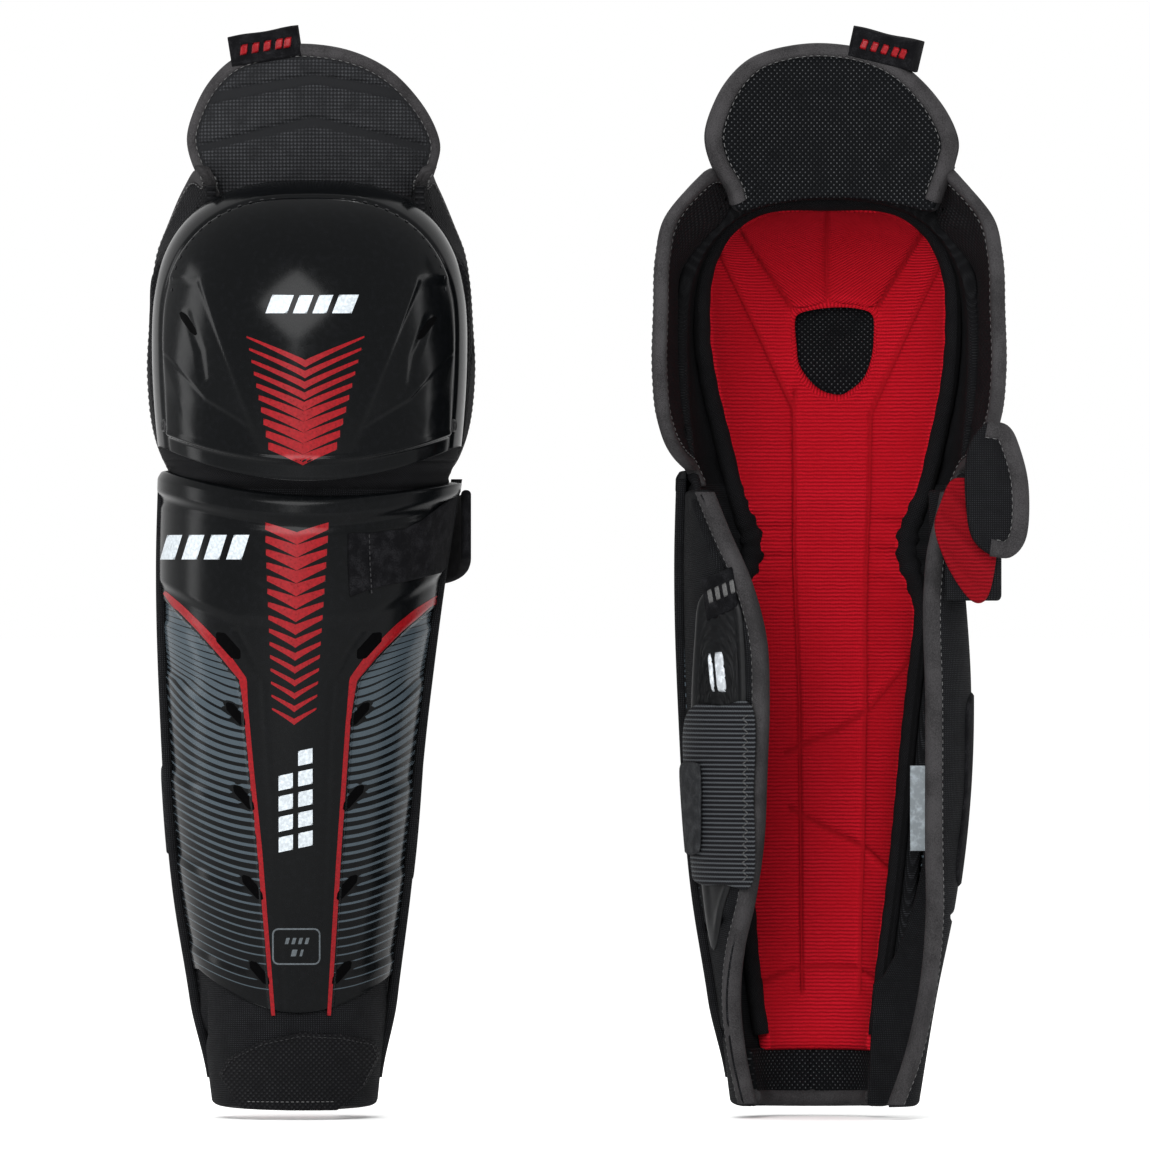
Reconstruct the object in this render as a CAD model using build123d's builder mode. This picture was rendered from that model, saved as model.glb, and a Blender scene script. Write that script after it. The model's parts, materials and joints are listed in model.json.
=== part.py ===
from build123d import *

import os
from math import cos, radians, sin

# Hockey shin guards: a right and a left guard side by side, worn upright.
#
# Every piece is modelled once in the right guard's frame, in millimetres: +Z runs up
# the leg from the bottom edge of the ankle, -Y points to the front of the shin, and the
# leg's axis is at X = Y = 0. The right guard faces the front. The left guard is its
# mirror image, turned to show its back, and stands beside it along +X.

os.makedirs("parts", exist_ok=True)

# ---------------------------------------------------------------- driving dimensions
GUARD_SPACING = 243.5
CLEARANCE = 0.3
FAR = 150.0

# Sections of the shin: height, centre x, centre y, half width, half depth of the shell.
SHIN_SECTIONS = [
    (0, -8.0, 0.0, 40.0, 42.0),
    (55, -8.7, -1.0, 46.5, 47.0),
    (100, -9.4, -3.0, 53.0, 52.0),
    (193, -8.0, -5.0, 61.0, 58.0),
    (258, -4.5, -3.0, 66.0, 63.0),
    (300, -0.5, 0.0, 69.0, 66.0),
]
# Sections that the medial calf wing follows, bulging out behind the shell.
MEDIAL_SECTIONS = [
    (0, 17.0, 24.0, 24.0, 20.0),
    (55, 20.0, 27.0, 30.0, 25.0),
    (100, 21.0, 27.0, 38.0, 31.0),
    (193, 22.0, 25.0, 44.0, 36.0),
    (258, 25.0, 22.0, 37.0, 28.0),
    (296, 27.0, 18.0, 32.0, 24.0),
]
# Sections that the two knee wings follow, flaring out behind the knee cap.
KNEE_WING_SECTIONS = [
    (300, -1.0, 40.0, 74.0, 100.0),
    (345, -1.0, 40.0, 81.0, 100.0),
    (400, -1.0, 40.0, 80.0, 100.0),
    (430, -1.0, 40.0, 71.0, 100.0),
    (446, -1.0, 40.0, 66.0, 100.0),
]

SHELL_WALL = 2.6
FOAM_WALL = 7.0
LINER_WALL = 6.0
SHELL_BACK = 1.0
SHELL_TOP_CENTRE = 286.0
SHELL_TOP_SIDE = 304.0
FOAM_BACK = 1.0
SHIN_TOP = 296.0
VENT_HEIGHTS = [218.0, 186.0, 147.0, 105.0, 65.0]
VENT_LENGTH = 14.0
VENT_WIDTH = 5.0
VENT_SLANT = 45.0
VENT_FROM_SPINE = 6.0
SPINE_X = -5.0
SPINE_HALF_TOP = 26.0
SPINE_HALF_BOTTOM = 13.0
SPINE_TOP = 197.0
SPINE_BOTTOM = 45.0

KNEE_X = -1.0
KNEE_Y = -8.0
KNEE_Z = 360.0
KNEE_RADII = (76.0, 71.0, 78.0)
KNEE_FOOT = 288.0
KNEE_FOOT_RADII = (70.5, 68.0)
DOME_STEPS = 7
DOME_LAST_ANGLE = 84.0
CAP_WALL = 3.0
CAP_BACK = -2.0
CAP_LOW_CENTRE = 292.0
CAP_LOW_SIDE = 317.0
KNEE_FOAM_WALL = 7.0
KNEE_SOFT_BOTTOM = 304.0
KNEE_SOFT_TOP = 430.0
RIVET_Y = -12.0
RIVET_Z = 320.0
RIVET_RADIUS = 3.0
RIVET_HEAD_RADIUS = 4.6

THIGH_CENTRE_Y = 100.0
THIGH_RADIUS = 100.0
THIGH_BOTTOM = 431.5
BINDING_WIDTH = 7.0

WING_FRONT = 8.0
WING_WALL = 6.0
SHIELD_WALL = 1.6
STRAP_WALL = 1.8
MEDIAL_HINGE = ((52.0, 9.5, 193.0), (0.05, 0.0, 1.0))
MEDIAL_CLOSED_TURN = 20.0


# ---------------------------------------------------------------- shaping helpers
def lofted(sections, inset):
    """Solid through elliptical sections, its side `inset` inside them."""
    with BuildPart() as body:
        for height, x, y, half_width, half_depth in sections:
            with BuildSketch(Plane.XY.offset(height)):
                with Locations((x, y)):
                    Ellipse(half_width - inset, half_depth - inset)
        loft(ruled=True)
    return body.part


def wall(sections, outer_inset, inner_inset):
    """Tube wall between two insets of the same sections."""
    with BuildPart() as tube:
        add(lofted(sections, outer_inset))
        add(lofted(sections, inner_inset), mode=Mode.SUBTRACT)
    return tube.part


def front_block(outline, back, front=-FAR):
    """Block with an outline drawn as seen from the front, between two depths."""
    with BuildPart() as block:
        with BuildSketch(Plane.XZ.offset(-front)):
            add(outline)
        extrude(amount=front - back)
    return block.part


def side_block(outline, low_x, high_x):
    """Block with an outline drawn in Y and Z, between two widths."""
    with BuildPart() as block:
        with BuildSketch(Plane.YZ.offset(low_x)):
            add(outline)
        extrude(amount=high_x - low_x)
    return block.part


def polygon(points):
    """Flat outline through straight-edged points."""
    with BuildSketch() as face:
        with BuildLine():
            Polyline(*points, close=True)
        make_face()
    return face.sketch


def rounded(points):
    """Flat outline with a smooth closed edge."""
    with BuildSketch() as face:
        with BuildLine():
            Spline(*points, periodic=True)
        make_face()
    return face.sketch


def edge_strip(points, side_x, width=0.0):
    """Flat outline from a smooth edge out to side_x, the edge moved by width."""
    moved = [(x + width, z) for x, z in points]
    with BuildSketch() as face:
        with BuildLine():
            Spline(*moved)
            Polyline(moved[-1], (side_x, moved[-1][1]), (side_x, moved[0][1]), moved[0])
        make_face()
    return face.sketch


def knee_solid(inset):
    """Domed knee shape, `inset` inside the knee cap's outer face."""
    radius_x, radius_y, radius_z = [r - inset for r in KNEE_RADII]
    foot_x, foot_y = [r - inset for r in KNEE_FOOT_RADII]
    sections = [(KNEE_FOOT, KNEE_X, KNEE_Y, foot_x, foot_y)]
    for step in range(DOME_STEPS + 1):
        angle = radians(DOME_LAST_ANGLE * step / DOME_STEPS)
        height = KNEE_Z + radius_z * sin(angle)
        sections.append((height, KNEE_X, KNEE_Y, radius_x * cos(angle), radius_y * cos(angle)))
    return lofted(sections, 0)


def kept_inside(solid, *keepers):
    """Part of a solid inside every keeper."""
    with BuildPart() as body:
        add(solid)
        for keeper in keepers:
            add(keeper, mode=Mode.INTERSECT)
    return body.part


# ---------------------------------------------------------------- placing the guards
def place_left(piece):
    """Mirror a piece front to back and move it to the left guard's place."""
    return mirror(piece, about=Plane.XZ).moved(Location((GUARD_SPACING, 0, 0)))


def write_piece(piece, name):
    """Label one placed piece and write its file."""
    piece.label = name
    export_step(piece, f"parts/{name}.step")


def write_pair(piece, name):
    """Write a piece of the right guard and its mirror image of the left guard."""
    write_piece(piece, f"right_{name}")
    write_piece(place_left(piece), f"left_{name}")


# ---------------------------------------------------------------- shin shell
def spine_half_width(height):
    """Half width of the raised centre strip at a height."""
    along = (height - SPINE_BOTTOM) / (SPINE_TOP - SPINE_BOTTOM)
    return SPINE_HALF_BOTTOM + along * (SPINE_HALF_TOP - SPINE_HALF_BOTTOM)


with BuildSketch() as shell_outline:
    with BuildLine():
        ThreePointArc((-80, 62), (SPINE_X, 45), (70, 62))
        Line((70, 62), (80, SHELL_TOP_SIDE))
        ThreePointArc((80, SHELL_TOP_SIDE), (0, SHELL_TOP_CENTRE), (-80, SHELL_TOP_SIDE))
        Line((-80, SHELL_TOP_SIDE), (-80, 62))
    make_face()

with BuildPart() as shin_shell:
    add(wall(SHIN_SECTIONS, 0, SHELL_WALL))
    add(front_block(shell_outline.sketch, SHELL_BACK), mode=Mode.INTERSECT)
    for height in VENT_HEIGHTS:
        for side in (-1, 1):
            vent_x = SPINE_X + side * (spine_half_width(min(height, SPINE_TOP)) + VENT_FROM_SPINE)
            with BuildSketch(Plane.XZ.offset(FAR)):
                with Locations((vent_x, height)):
                    SlotOverall(VENT_LENGTH, VENT_WIDTH, rotation=side * VENT_SLANT)
            extrude(amount=-FAR, mode=Mode.SUBTRACT)
write_pair(shin_shell.part, "shin_shell")

# ---------------------------------------------------------------- shin foam and ankle
FOAM_OUT = SHELL_WALL + 0.2
FOAM_IN = FOAM_OUT + FOAM_WALL
LINER_OUT = FOAM_IN + 0.2
LINER_IN = LINER_OUT + LINER_WALL

with BuildPart() as shin_foam:
    add(wall(SHIN_SECTIONS, FOAM_OUT, FOAM_IN))
    add(front_block(polygon([(-90, 0), (90, 0), (90, SHIN_TOP), (-90, SHIN_TOP)]), FOAM_BACK),
        mode=Mode.INTERSECT)
write_pair(shin_foam.part, "shin_foam")

ANKLE_COVER_POINTS = [(-46, 17), (-41, 24), (-4, 37), (33, 33), (35, 26), (27, 12), (13, 1), (-36, 1)]
with BuildPart() as ankle_cover:
    add(wall(SHIN_SECTIONS, 0.6, SHELL_WALL))
    add(front_block(polygon(ANKLE_COVER_POINTS), -8), mode=Mode.INTERSECT)
write_pair(ankle_cover.part, "ankle_cover")

with BuildPart() as ankle_pad:
    add(wall(SHIN_SECTIONS, LINER_OUT, LINER_OUT + 4))
    add(front_block(polygon([(-60, 1), (60, 1), (60, 26), (-60, 26)]), 0), mode=Mode.INTERSECT)
write_pair(ankle_pad.part, "ankle_pad")

LINER_BOTTOM = 28.0
with BuildPart() as shin_liner:
    add(wall(SHIN_SECTIONS, LINER_OUT, LINER_IN))
    add(front_block(polygon([(-90, LINER_BOTTOM), (90, LINER_BOTTOM), (90, SHIN_TOP), (-90, SHIN_TOP)]), 0),
        mode=Mode.INTERSECT)
write_pair(shin_liner.part, "shin_liner")

# ---------------------------------------------------------------- knee cap and rivets
with BuildSketch() as cap_outline:
    with BuildLine():
        ThreePointArc((-90, CAP_LOW_SIDE), (KNEE_X, CAP_LOW_CENTRE), (90, CAP_LOW_SIDE))
        Polyline((90, CAP_LOW_SIDE), (90, 450), (-90, 450), (-90, CAP_LOW_SIDE))
    make_face()

with BuildPart() as rivet_holes:
    with BuildSketch(Plane.YZ.offset(-FAR)):
        with Locations((RIVET_Y, RIVET_Z)):
            Circle(RIVET_RADIUS + 0.05)
    extrude(amount=2 * FAR)

with BuildPart() as knee_cap:
    add(knee_solid(0))
    add(knee_solid(CAP_WALL), mode=Mode.SUBTRACT)
    add(front_block(cap_outline.sketch, CAP_BACK), mode=Mode.INTERSECT)
    add(rivet_holes.part, mode=Mode.SUBTRACT)
write_pair(knee_cap.part, "knee_cap")

RIVET_INNER_X = 64.0
RIVET_OUTER_X = 75.4
RIVET_HEAD_LENGTH = 1.5
with BuildPart() as knee_rivets:
    for side in (-1, 1):
        with BuildSketch(Plane.YZ.offset(KNEE_X + side * RIVET_INNER_X)):
            with Locations((RIVET_Y, RIVET_Z)):
                Circle(RIVET_RADIUS)
        extrude(amount=side * (RIVET_OUTER_X - RIVET_INNER_X))
        with BuildSketch(Plane.YZ.offset(KNEE_X + side * RIVET_OUTER_X)):
            with Locations((RIVET_Y, RIVET_Z)):
                Circle(RIVET_HEAD_RADIUS)
        extrude(amount=side * RIVET_HEAD_LENGTH)
write_pair(knee_rivets.part, "knee_rivets")

# ---------------------------------------------------------------- knee foam and liner
knee_soft_zone = front_block(
    polygon([(-90, KNEE_SOFT_BOTTOM), (90, KNEE_SOFT_BOTTOM), (90, KNEE_SOFT_TOP), (-90, KNEE_SOFT_TOP)]),
    CAP_BACK,
)
KNEE_FOAM_IN = CAP_WALL + CLEARANCE + KNEE_FOAM_WALL
with BuildPart() as knee_foam:
    add(knee_solid(CAP_WALL + CLEARANCE))
    add(knee_solid(KNEE_FOAM_IN), mode=Mode.SUBTRACT)
    add(knee_soft_zone, mode=Mode.INTERSECT)
    add(rivet_holes.part, mode=Mode.SUBTRACT)
write_pair(knee_foam.part, "knee_foam")

KNEE_HOLE_POINTS = [(-11, 378), (16, 378), (24, 366), (17, 336), (3, 331), (-10, 336), (-17, 366)]
knee_hole = front_block(rounded(KNEE_HOLE_POINTS), 0)
KNEE_LINER_OUT = KNEE_FOAM_IN + 0.2
with BuildPart() as knee_liner:
    add(knee_solid(KNEE_LINER_OUT))
    add(knee_solid(KNEE_LINER_OUT + LINER_WALL), mode=Mode.SUBTRACT)
    add(knee_soft_zone, mode=Mode.INTERSECT)
    add(knee_hole, mode=Mode.SUBTRACT)
write_pair(knee_liner.part, "knee_liner")

KNEE_PAD_POINTS = [(-10, 377), (15, 377), (23, 366), (16, 337), (3, 332), (-9, 337), (-16, 366)]
with BuildPart() as knee_mesh_pad:
    add(knee_solid(KNEE_LINER_OUT))
    add(knee_solid(KNEE_LINER_OUT + 4), mode=Mode.SUBTRACT)
    add(front_block(rounded(KNEE_PAD_POINTS), -20), mode=Mode.INTERSECT)
write_pair(knee_mesh_pad.part, "knee_mesh_pad")

# ---------------------------------------------------------------- knee wings
KNEE_WING_POINTS = [(0.5, 308), (28, 323), (42, 347), (41, 393), (24, 429), (0.5, 438)]
KNEE_WING_BIND_POINTS = [(0.5, 315), (25, 329), (35, 349), (34, 390), (19, 422), (0.5, 431)]


def wing_side(points):
    """Flat side outline of a knee wing with a straight front edge."""
    with BuildSketch() as face:
        with BuildLine():
            Spline(*points)
            Line(points[-1], points[0])
        make_face()
    return face.sketch


WING_SIDES = {"lateral": (-FAR, KNEE_X), "medial": (KNEE_X, FAR)}
for wing_name, (low_x, high_x) in WING_SIDES.items():
    with BuildPart() as knee_wing:
        add(wall(KNEE_WING_SECTIONS, 0.5, WING_WALL))
        add(side_block(wing_side(KNEE_WING_BIND_POINTS), low_x, high_x), mode=Mode.INTERSECT)
    write_pair(knee_wing.part, f"{wing_name}_knee_wing")

    with BuildPart() as knee_binding:
        add(wall(KNEE_WING_SECTIONS, 0, WING_WALL + 0.5))
        add(side_block(wing_side(KNEE_WING_POINTS), low_x, high_x), mode=Mode.INTERSECT)
        add(side_block(wing_side(KNEE_WING_BIND_POINTS), low_x, high_x), mode=Mode.SUBTRACT)
    write_pair(knee_binding.part, f"{wing_name}_knee_binding")

# ---------------------------------------------------------------- thigh flap
THIGH_POINTS = [(55, THIGH_BOTTOM), (61.5, 456), (41, 486), (-3, 500.5), (-41, 493), (-60.5, 458),
                (-50, THIGH_BOTTOM)]
THIGH_INNER_POINTS = [(48, THIGH_BOTTOM), (54.5, 456), (37, 479.5), (-3, 493.5), (-37, 486), (-53.5, 458),
                      (-43, THIGH_BOTTOM)]


def flap_outline(points):
    """Flat outline with a round top edge and a straight bottom edge."""
    with BuildSketch() as face:
        with BuildLine():
            Spline(*points)
            Line(points[-1], points[0])
        make_face()
    return face.sketch


def thigh_shell(outer_inset, inner_inset):
    """Curved sheet in front of the thigh."""
    with BuildPart() as sheet:
        with BuildSketch(Plane.XY.offset(THIGH_BOTTOM - 20)):
            with Locations((0, THIGH_CENTRE_Y)):
                Circle(THIGH_RADIUS - outer_inset)
                Circle(THIGH_RADIUS - inner_inset, mode=Mode.SUBTRACT)
        extrude(amount=120)
    return sheet.part


flap_inner_block = front_block(flap_outline(THIGH_INNER_POINTS), 60)
flap_outer_block = front_block(flap_outline(THIGH_POINTS), 60)
thigh_flap = kept_inside(thigh_shell(0.4, 5), flap_inner_block)
write_pair(thigh_flap, "thigh_flap")
thigh_flap_lining = kept_inside(thigh_shell(5, 8), flap_inner_block)
write_pair(thigh_flap_lining, "thigh_flap_lining")
with BuildPart() as thigh_flap_binding:
    add(thigh_shell(0, 8.4))
    add(flap_outer_block, mode=Mode.INTERSECT)
    add(flap_inner_block, mode=Mode.SUBTRACT)
write_pair(thigh_flap_binding.part, "thigh_flap_binding")

TAB_LENGTH = 34.0
TAB_HEIGHT = 15.0
TAB_TILT = 9.0


def make_side_tab(x, z, tilt):
    """Folded fabric loop standing on the flap's top edge."""
    with BuildSketch() as face:
        with Locations((x, z)):
            Rectangle(TAB_LENGTH, TAB_HEIGHT, rotation=tilt)
    with BuildPart() as tab:
        add(thigh_shell(-1.5, 9.5))
        add(front_block(face.sketch, 60), mode=Mode.INTERSECT)
        add(flap_outer_block, mode=Mode.SUBTRACT)
    return tab.part


write_piece(make_side_tab(-22.5, 499.5, TAB_TILT), "right_side_tab")
write_piece(place_left(make_side_tab(26.5, 498.0, -13.0)), "left_side_tab")

# ---------------------------------------------------------------- lateral calf wing
LATERAL_EDGE = [(-62, 290), (-40, 249), (-30.5, 221), (-29, 193), (-30.5, 122), (-40, 75), (-43, 28), (-38, 2)]
wing_back = {"back": FAR, "front": WING_FRONT}
lateral_whole = front_block(edge_strip(LATERAL_EDGE, -FAR), **wing_back)
lateral_inside = front_block(edge_strip(LATERAL_EDGE[:6], -FAR, -BINDING_WIDTH), **wing_back)

lateral_calf_wing = kept_inside(wall(SHIN_SECTIONS, 2.2, 2.2 + WING_WALL), lateral_inside)
write_pair(lateral_calf_wing, "lateral_calf_wing")

with BuildPart() as lateral_calf_binding:
    add(wall(SHIN_SECTIONS, 0.6, 2.6 + WING_WALL))
    add(lateral_whole, mode=Mode.INTERSECT)
    add(lateral_inside, mode=Mode.SUBTRACT)
write_pair(lateral_calf_binding.part, "lateral_calf_binding")

SHIELD_POINTS = [(-51, 243), (-42, 221), (-41, 190), (-43, 125), (-52, 95), (-56, 74), (-60, 90), (-64, 130),
                 (-66, 190), (-64, 236)]
calf_shield = kept_inside(
    wall(SHIN_SECTIONS, 2.0 - SHIELD_WALL, 2.0),
    front_block(polygon(SHIELD_POINTS), FAR, WING_FRONT + 2),
)
write_pair(calf_shield, "calf_shield")

# ---------------------------------------------------------------- lower strap
STRAP_LOW = 106.0
STRAP_HIGH = 190.0
with BuildPart() as lower_strap:
    add(wall(SHIN_SECTIONS, -STRAP_WALL, -CLEARANCE))
    add(front_block(polygon([(-FAR, STRAP_LOW), (-38, STRAP_LOW), (-35, STRAP_HIGH), (-FAR, STRAP_HIGH)]),
                    FAR, WING_FRONT), mode=Mode.INTERSECT)
write_pair(lower_strap.part, "lower_strap")

with BuildPart() as lower_strap_tab:
    add(wall(SHIN_SECTIONS, -STRAP_WALL - 2.0, -STRAP_WALL - 0.1))
    add(front_block(polygon([(-FAR, 118), (-58, 118), (-58, 164), (-FAR, 164)]), FAR, WING_FRONT + 1),
        mode=Mode.INTERSECT)
write_pair(lower_strap_tab.part, "lower_strap_tab")

# ---------------------------------------------------------------- medial calf wing
MEDIAL_EDGE = [(58, 292), (47, 268), (43.5, 245), (43.5, 193), (43.5, 122), (38, 52), (30, 20), (26, 2)]
medial_whole = front_block(edge_strip(MEDIAL_EDGE, FAR), **wing_back)
medial_inside = front_block(edge_strip(MEDIAL_EDGE, FAR, BINDING_WIDTH), **wing_back)
medial_axis = Axis(*MEDIAL_HINGE)

medial_calf_wing = kept_inside(wall(MEDIAL_SECTIONS, 0.6, 0.6 + WING_WALL), medial_inside)
with BuildPart() as medial_calf_binding:
    add(wall(MEDIAL_SECTIONS, 0, 1.2 + WING_WALL))
    add(medial_whole, mode=Mode.INTERSECT)
    add(medial_inside, mode=Mode.SUBTRACT)
with BuildPart() as loop_patch:
    add(wall(MEDIAL_SECTIONS, -0.9, 0.3))
    add(front_block(polygon([(52, 108), (FAR, 108), (FAR, 193), (52, 193)]), 38, WING_FRONT + 6),
        mode=Mode.INTERSECT)

# The right guard's medial wing is drawn in, as when it is strapped, and the left one is open.
for medial_name, medial_piece in {
    "medial_calf_wing": medial_calf_wing,
    "medial_calf_binding": medial_calf_binding.part,
    "loop_patch": loop_patch.part,
}.items():
    write_piece(medial_piece.rotate(medial_axis, MEDIAL_CLOSED_TURN), f"right_{medial_name}")
    write_piece(place_left(medial_piece), f"left_{medial_name}")

# ---------------------------------------------------------------- upper strap
ANCHOR_POINTS = [(16, 268), (48, 283), (80, 292), (80, 258), (62, 243), (19, 238)]
upper_strap_anchor = kept_inside(
    wall(SHIN_SECTIONS, -2.4, -0.2),
    front_block(polygon(ANCHOR_POINTS), 4),
)
write_pair(upper_strap_anchor, "upper_strap_anchor")

UPPER_LOW = 244.0
UPPER_HIGH = 288.0
BAND_RADII = (75.0, 70.0)
BAND_CENTRE_Y = 6.0
BAND_WALL = 5.0
BAND_JOIN_X = 30.0
BAND_END_X = -14.0


def rear_band(low_x, high_x, low_y):
    """Curved band round the back of the calf between two side-to-side limits."""
    with BuildPart() as band:
        with BuildSketch(Plane.XY.offset(UPPER_LOW)):
            with Locations((0, BAND_CENTRE_Y)):
                Ellipse(*BAND_RADII)
                Ellipse(*[r - BAND_WALL for r in BAND_RADII], mode=Mode.SUBTRACT)
        extrude(amount=UPPER_HIGH - UPPER_LOW)
        with BuildSketch(Plane.XY.offset(UPPER_LOW)):
            add(polygon([(low_x, low_y), (high_x, low_y), (high_x, FAR), (low_x, FAR)]))
        extrude(amount=UPPER_HIGH - UPPER_LOW, mode=Mode.INTERSECT)
    return band.part


write_piece(rear_band(BAND_JOIN_X, FAR, WING_FRONT), "right_upper_strap_pad")
write_piece(rear_band(BAND_END_X, BAND_JOIN_X - 0.2, 40.0), "right_upper_strap_end")

PAD_PATH = [(67, 8), (71, 8), (74, 30), (79, 47), (79, 52), (52, 53), (52, 48), (74, 47), (69, 31)]
with BuildPart() as left_strap_pad:
    with BuildSketch(Plane.XY.offset(238)):
        add(polygon(PAD_PATH))
    extrude(amount=56)
write_piece(place_left(left_strap_pad.part), "left_upper_strap_pad")

END_POINTS = [(62, 300), (72, 318), (88, 314), (92, 290), (88, 268), (76, 261), (66, 266)]
left_strap_end = front_block(rounded(END_POINTS), 61, 54)
write_piece(place_left(left_strap_end), "left_upper_strap_end")
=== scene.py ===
"""Hockey shin guards: the finished look of a right guard seen from the front and a left guard
seen from the back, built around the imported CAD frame.

Every piece is shaped in the right guard's own frame, in millimetres: +Z runs up the leg from
the bottom edge of the ankle, -Y points to the front of the shin. The left guard is the mirror
image, turned to show its back. Pieces are moved to their guard and to metres when they are made.
"""

import json
import math

import bpy
import mathutils
import numpy as np
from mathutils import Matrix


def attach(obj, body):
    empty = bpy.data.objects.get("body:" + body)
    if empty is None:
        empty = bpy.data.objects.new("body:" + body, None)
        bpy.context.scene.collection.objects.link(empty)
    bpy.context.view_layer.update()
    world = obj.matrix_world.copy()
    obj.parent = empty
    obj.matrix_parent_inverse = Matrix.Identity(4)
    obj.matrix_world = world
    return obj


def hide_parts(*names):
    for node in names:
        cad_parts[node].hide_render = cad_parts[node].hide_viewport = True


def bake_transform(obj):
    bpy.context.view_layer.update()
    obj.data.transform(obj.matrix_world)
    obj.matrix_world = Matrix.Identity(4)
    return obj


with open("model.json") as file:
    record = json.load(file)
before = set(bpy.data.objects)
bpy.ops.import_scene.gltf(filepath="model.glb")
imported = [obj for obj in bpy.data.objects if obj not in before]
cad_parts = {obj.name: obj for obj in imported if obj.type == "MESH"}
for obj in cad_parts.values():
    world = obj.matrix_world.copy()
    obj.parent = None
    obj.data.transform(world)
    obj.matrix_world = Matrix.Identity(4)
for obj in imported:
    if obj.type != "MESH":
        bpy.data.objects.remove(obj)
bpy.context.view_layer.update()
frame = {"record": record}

MM = 0.001
MOUNTS = {m["name"]: m["pos_m"] for m in frame["record"]["mounts"]}
GUARD_X = {"right": MOUNTS["right_leg_channel"][0], "left": MOUNTS["left_leg_channel"][0]}
SIDES = ("right", "left")


# ---------------------------------------------------------------- numbers and curves
def smooth_curve(keys):
    """Smooth function through (position, value) pairs."""
    xs = np.array([k[0] for k in keys], float)
    ys = np.array([k[1] for k in keys], float)
    slopes = np.gradient(ys, xs)

    def value(x):
        x = np.clip(np.asarray(x, float), xs[0], xs[-1])
        i = np.clip(np.searchsorted(xs, x) - 1, 0, len(xs) - 2)
        step = xs[i + 1] - xs[i]
        t = (x - xs[i]) / step
        a = ys[i] * (1 + 2 * t) * (1 - t) ** 2
        b = slopes[i] * step * t * (1 - t) ** 2
        c = ys[i + 1] * t * t * (3 - 2 * t)
        d = slopes[i + 1] * step * t * t * (t - 1)
        return a + b + c + d

    return value


def line_curve(keys):
    """Straight-edged function through (position, value) pairs."""
    xs = [k[0] for k in keys]
    ys = [k[1] for k in keys]
    return lambda x: np.interp(x, xs, ys)


def ramp(x, low, high):
    """0 below low, 1 above high, smooth between."""
    t = np.clip((np.asarray(x, float) - low) / (high - low), 0, 1)
    return t * t * (3 - 2 * t)


def bump(x, centre, half_width):
    """1 at the centre, 0 half a width away, smooth between."""
    return 1 - ramp(np.abs(np.asarray(x, float) - centre), 0, half_width)


def path_distance(x, z, points):
    """Distance from (x, z) to a polyline in the front view."""
    best = np.full(np.shape(x), 1e9)
    for (x0, z0), (x1, z1) in zip(points[:-1], points[1:]):
        dx, dz = x1 - x0, z1 - z0
        t = np.clip(((x - x0) * dx + (z - z0) * dz) / (dx * dx + dz * dz), 0, 1)
        best = np.minimum(best, np.hypot(x - x0 - t * dx, z - z0 - t * dz))
    return best


def seam(x, z, points, width=1.6):
    """Depth share of a sewn groove along a polyline: 1 on the line, 0 beyond its width."""
    return 1 - ramp(path_distance(x, z, points), 0, width)


def edged(count, length, rim=1.5):
    """Positions from 0 to 1 with extra ones near both ends, where a pad rounds over."""
    shares = np.array([0.0, 0.06, 0.25, 0.55, 1.0]) * rim / length
    middle = np.linspace(rim / length, 1 - rim / length, count)[1:-1]
    return np.concatenate([shares, middle, 1 - shares[::-1]])


def edge_round(s, t, width, height, rim):
    """Thickness share of a padded panel: 0 at its edge, 1 a rim's width inside."""
    near = np.minimum(np.minimum(s, 1 - s) * width, np.minimum(t, 1 - t) * height)
    share = np.clip(near / rim, 0, 1)
    return np.sqrt(1 - (1 - share) ** 2)


# ---------------------------------------------------------------- the leg's surfaces
SHIN_CX = smooth_curve([(0, -8), (55, -8.7), (100, -9.4), (193, -8), (258, -4.5), (300, -0.5)])
SHIN_CY = smooth_curve([(0, 0), (55, -1), (100, -3), (193, -5), (258, -3), (300, 0)])
SHIN_A = smooth_curve([(0, 40), (55, 46.5), (100, 53), (193, 61), (258, 66), (300, 69)])
SHIN_B = smooth_curve([(0, 42), (55, 47), (100, 52), (193, 58), (258, 63), (300, 66)])

MEDIAL_CX = smooth_curve([(0, 17), (55, 20), (100, 21), (193, 22), (258, 25), (296, 27)])
MEDIAL_CY = smooth_curve([(0, 24), (55, 27), (100, 27), (193, 25), (258, 22), (296, 18)])
MEDIAL_A = smooth_curve([(0, 24), (55, 30), (100, 38), (193, 44), (258, 37), (296, 32)])
MEDIAL_B = smooth_curve([(0, 20), (55, 25), (100, 31), (193, 36), (258, 28), (296, 24)])

KNEE_X, KNEE_Y, KNEE_Z = -1.0, -8.0, 360.0
KNEE_RADII = (76.0, 71.0, 78.0)
KNEE_FOOT = 288.0
KNEE_FOOT_RADII = (70.5, 68.0)


def shin_point(angle, z, inset):
    """Point on the shin's outer face moved inwards; angle 0 is the front, + is towards +X."""
    x = SHIN_CX(z) + (SHIN_A(z) - inset) * np.sin(angle)
    y = SHIN_CY(z) - (SHIN_B(z) - inset) * np.cos(angle)
    return np.stack([x, y, z + 0 * x], axis=-1)


def shin_angle(x, z, inset=0.0):
    """Angle of the front point seen at x."""
    return np.arcsin(np.clip((x - SHIN_CX(z)) / (SHIN_A(z) - inset), -1, 1))


def shin_normal(x, z):
    """Forward direction of the shin's outer face seen at (x, z)."""
    return np.stack([np.sin(shin_angle(x, z)), -np.cos(shin_angle(x, z)), 0 * x], axis=-1)


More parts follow.
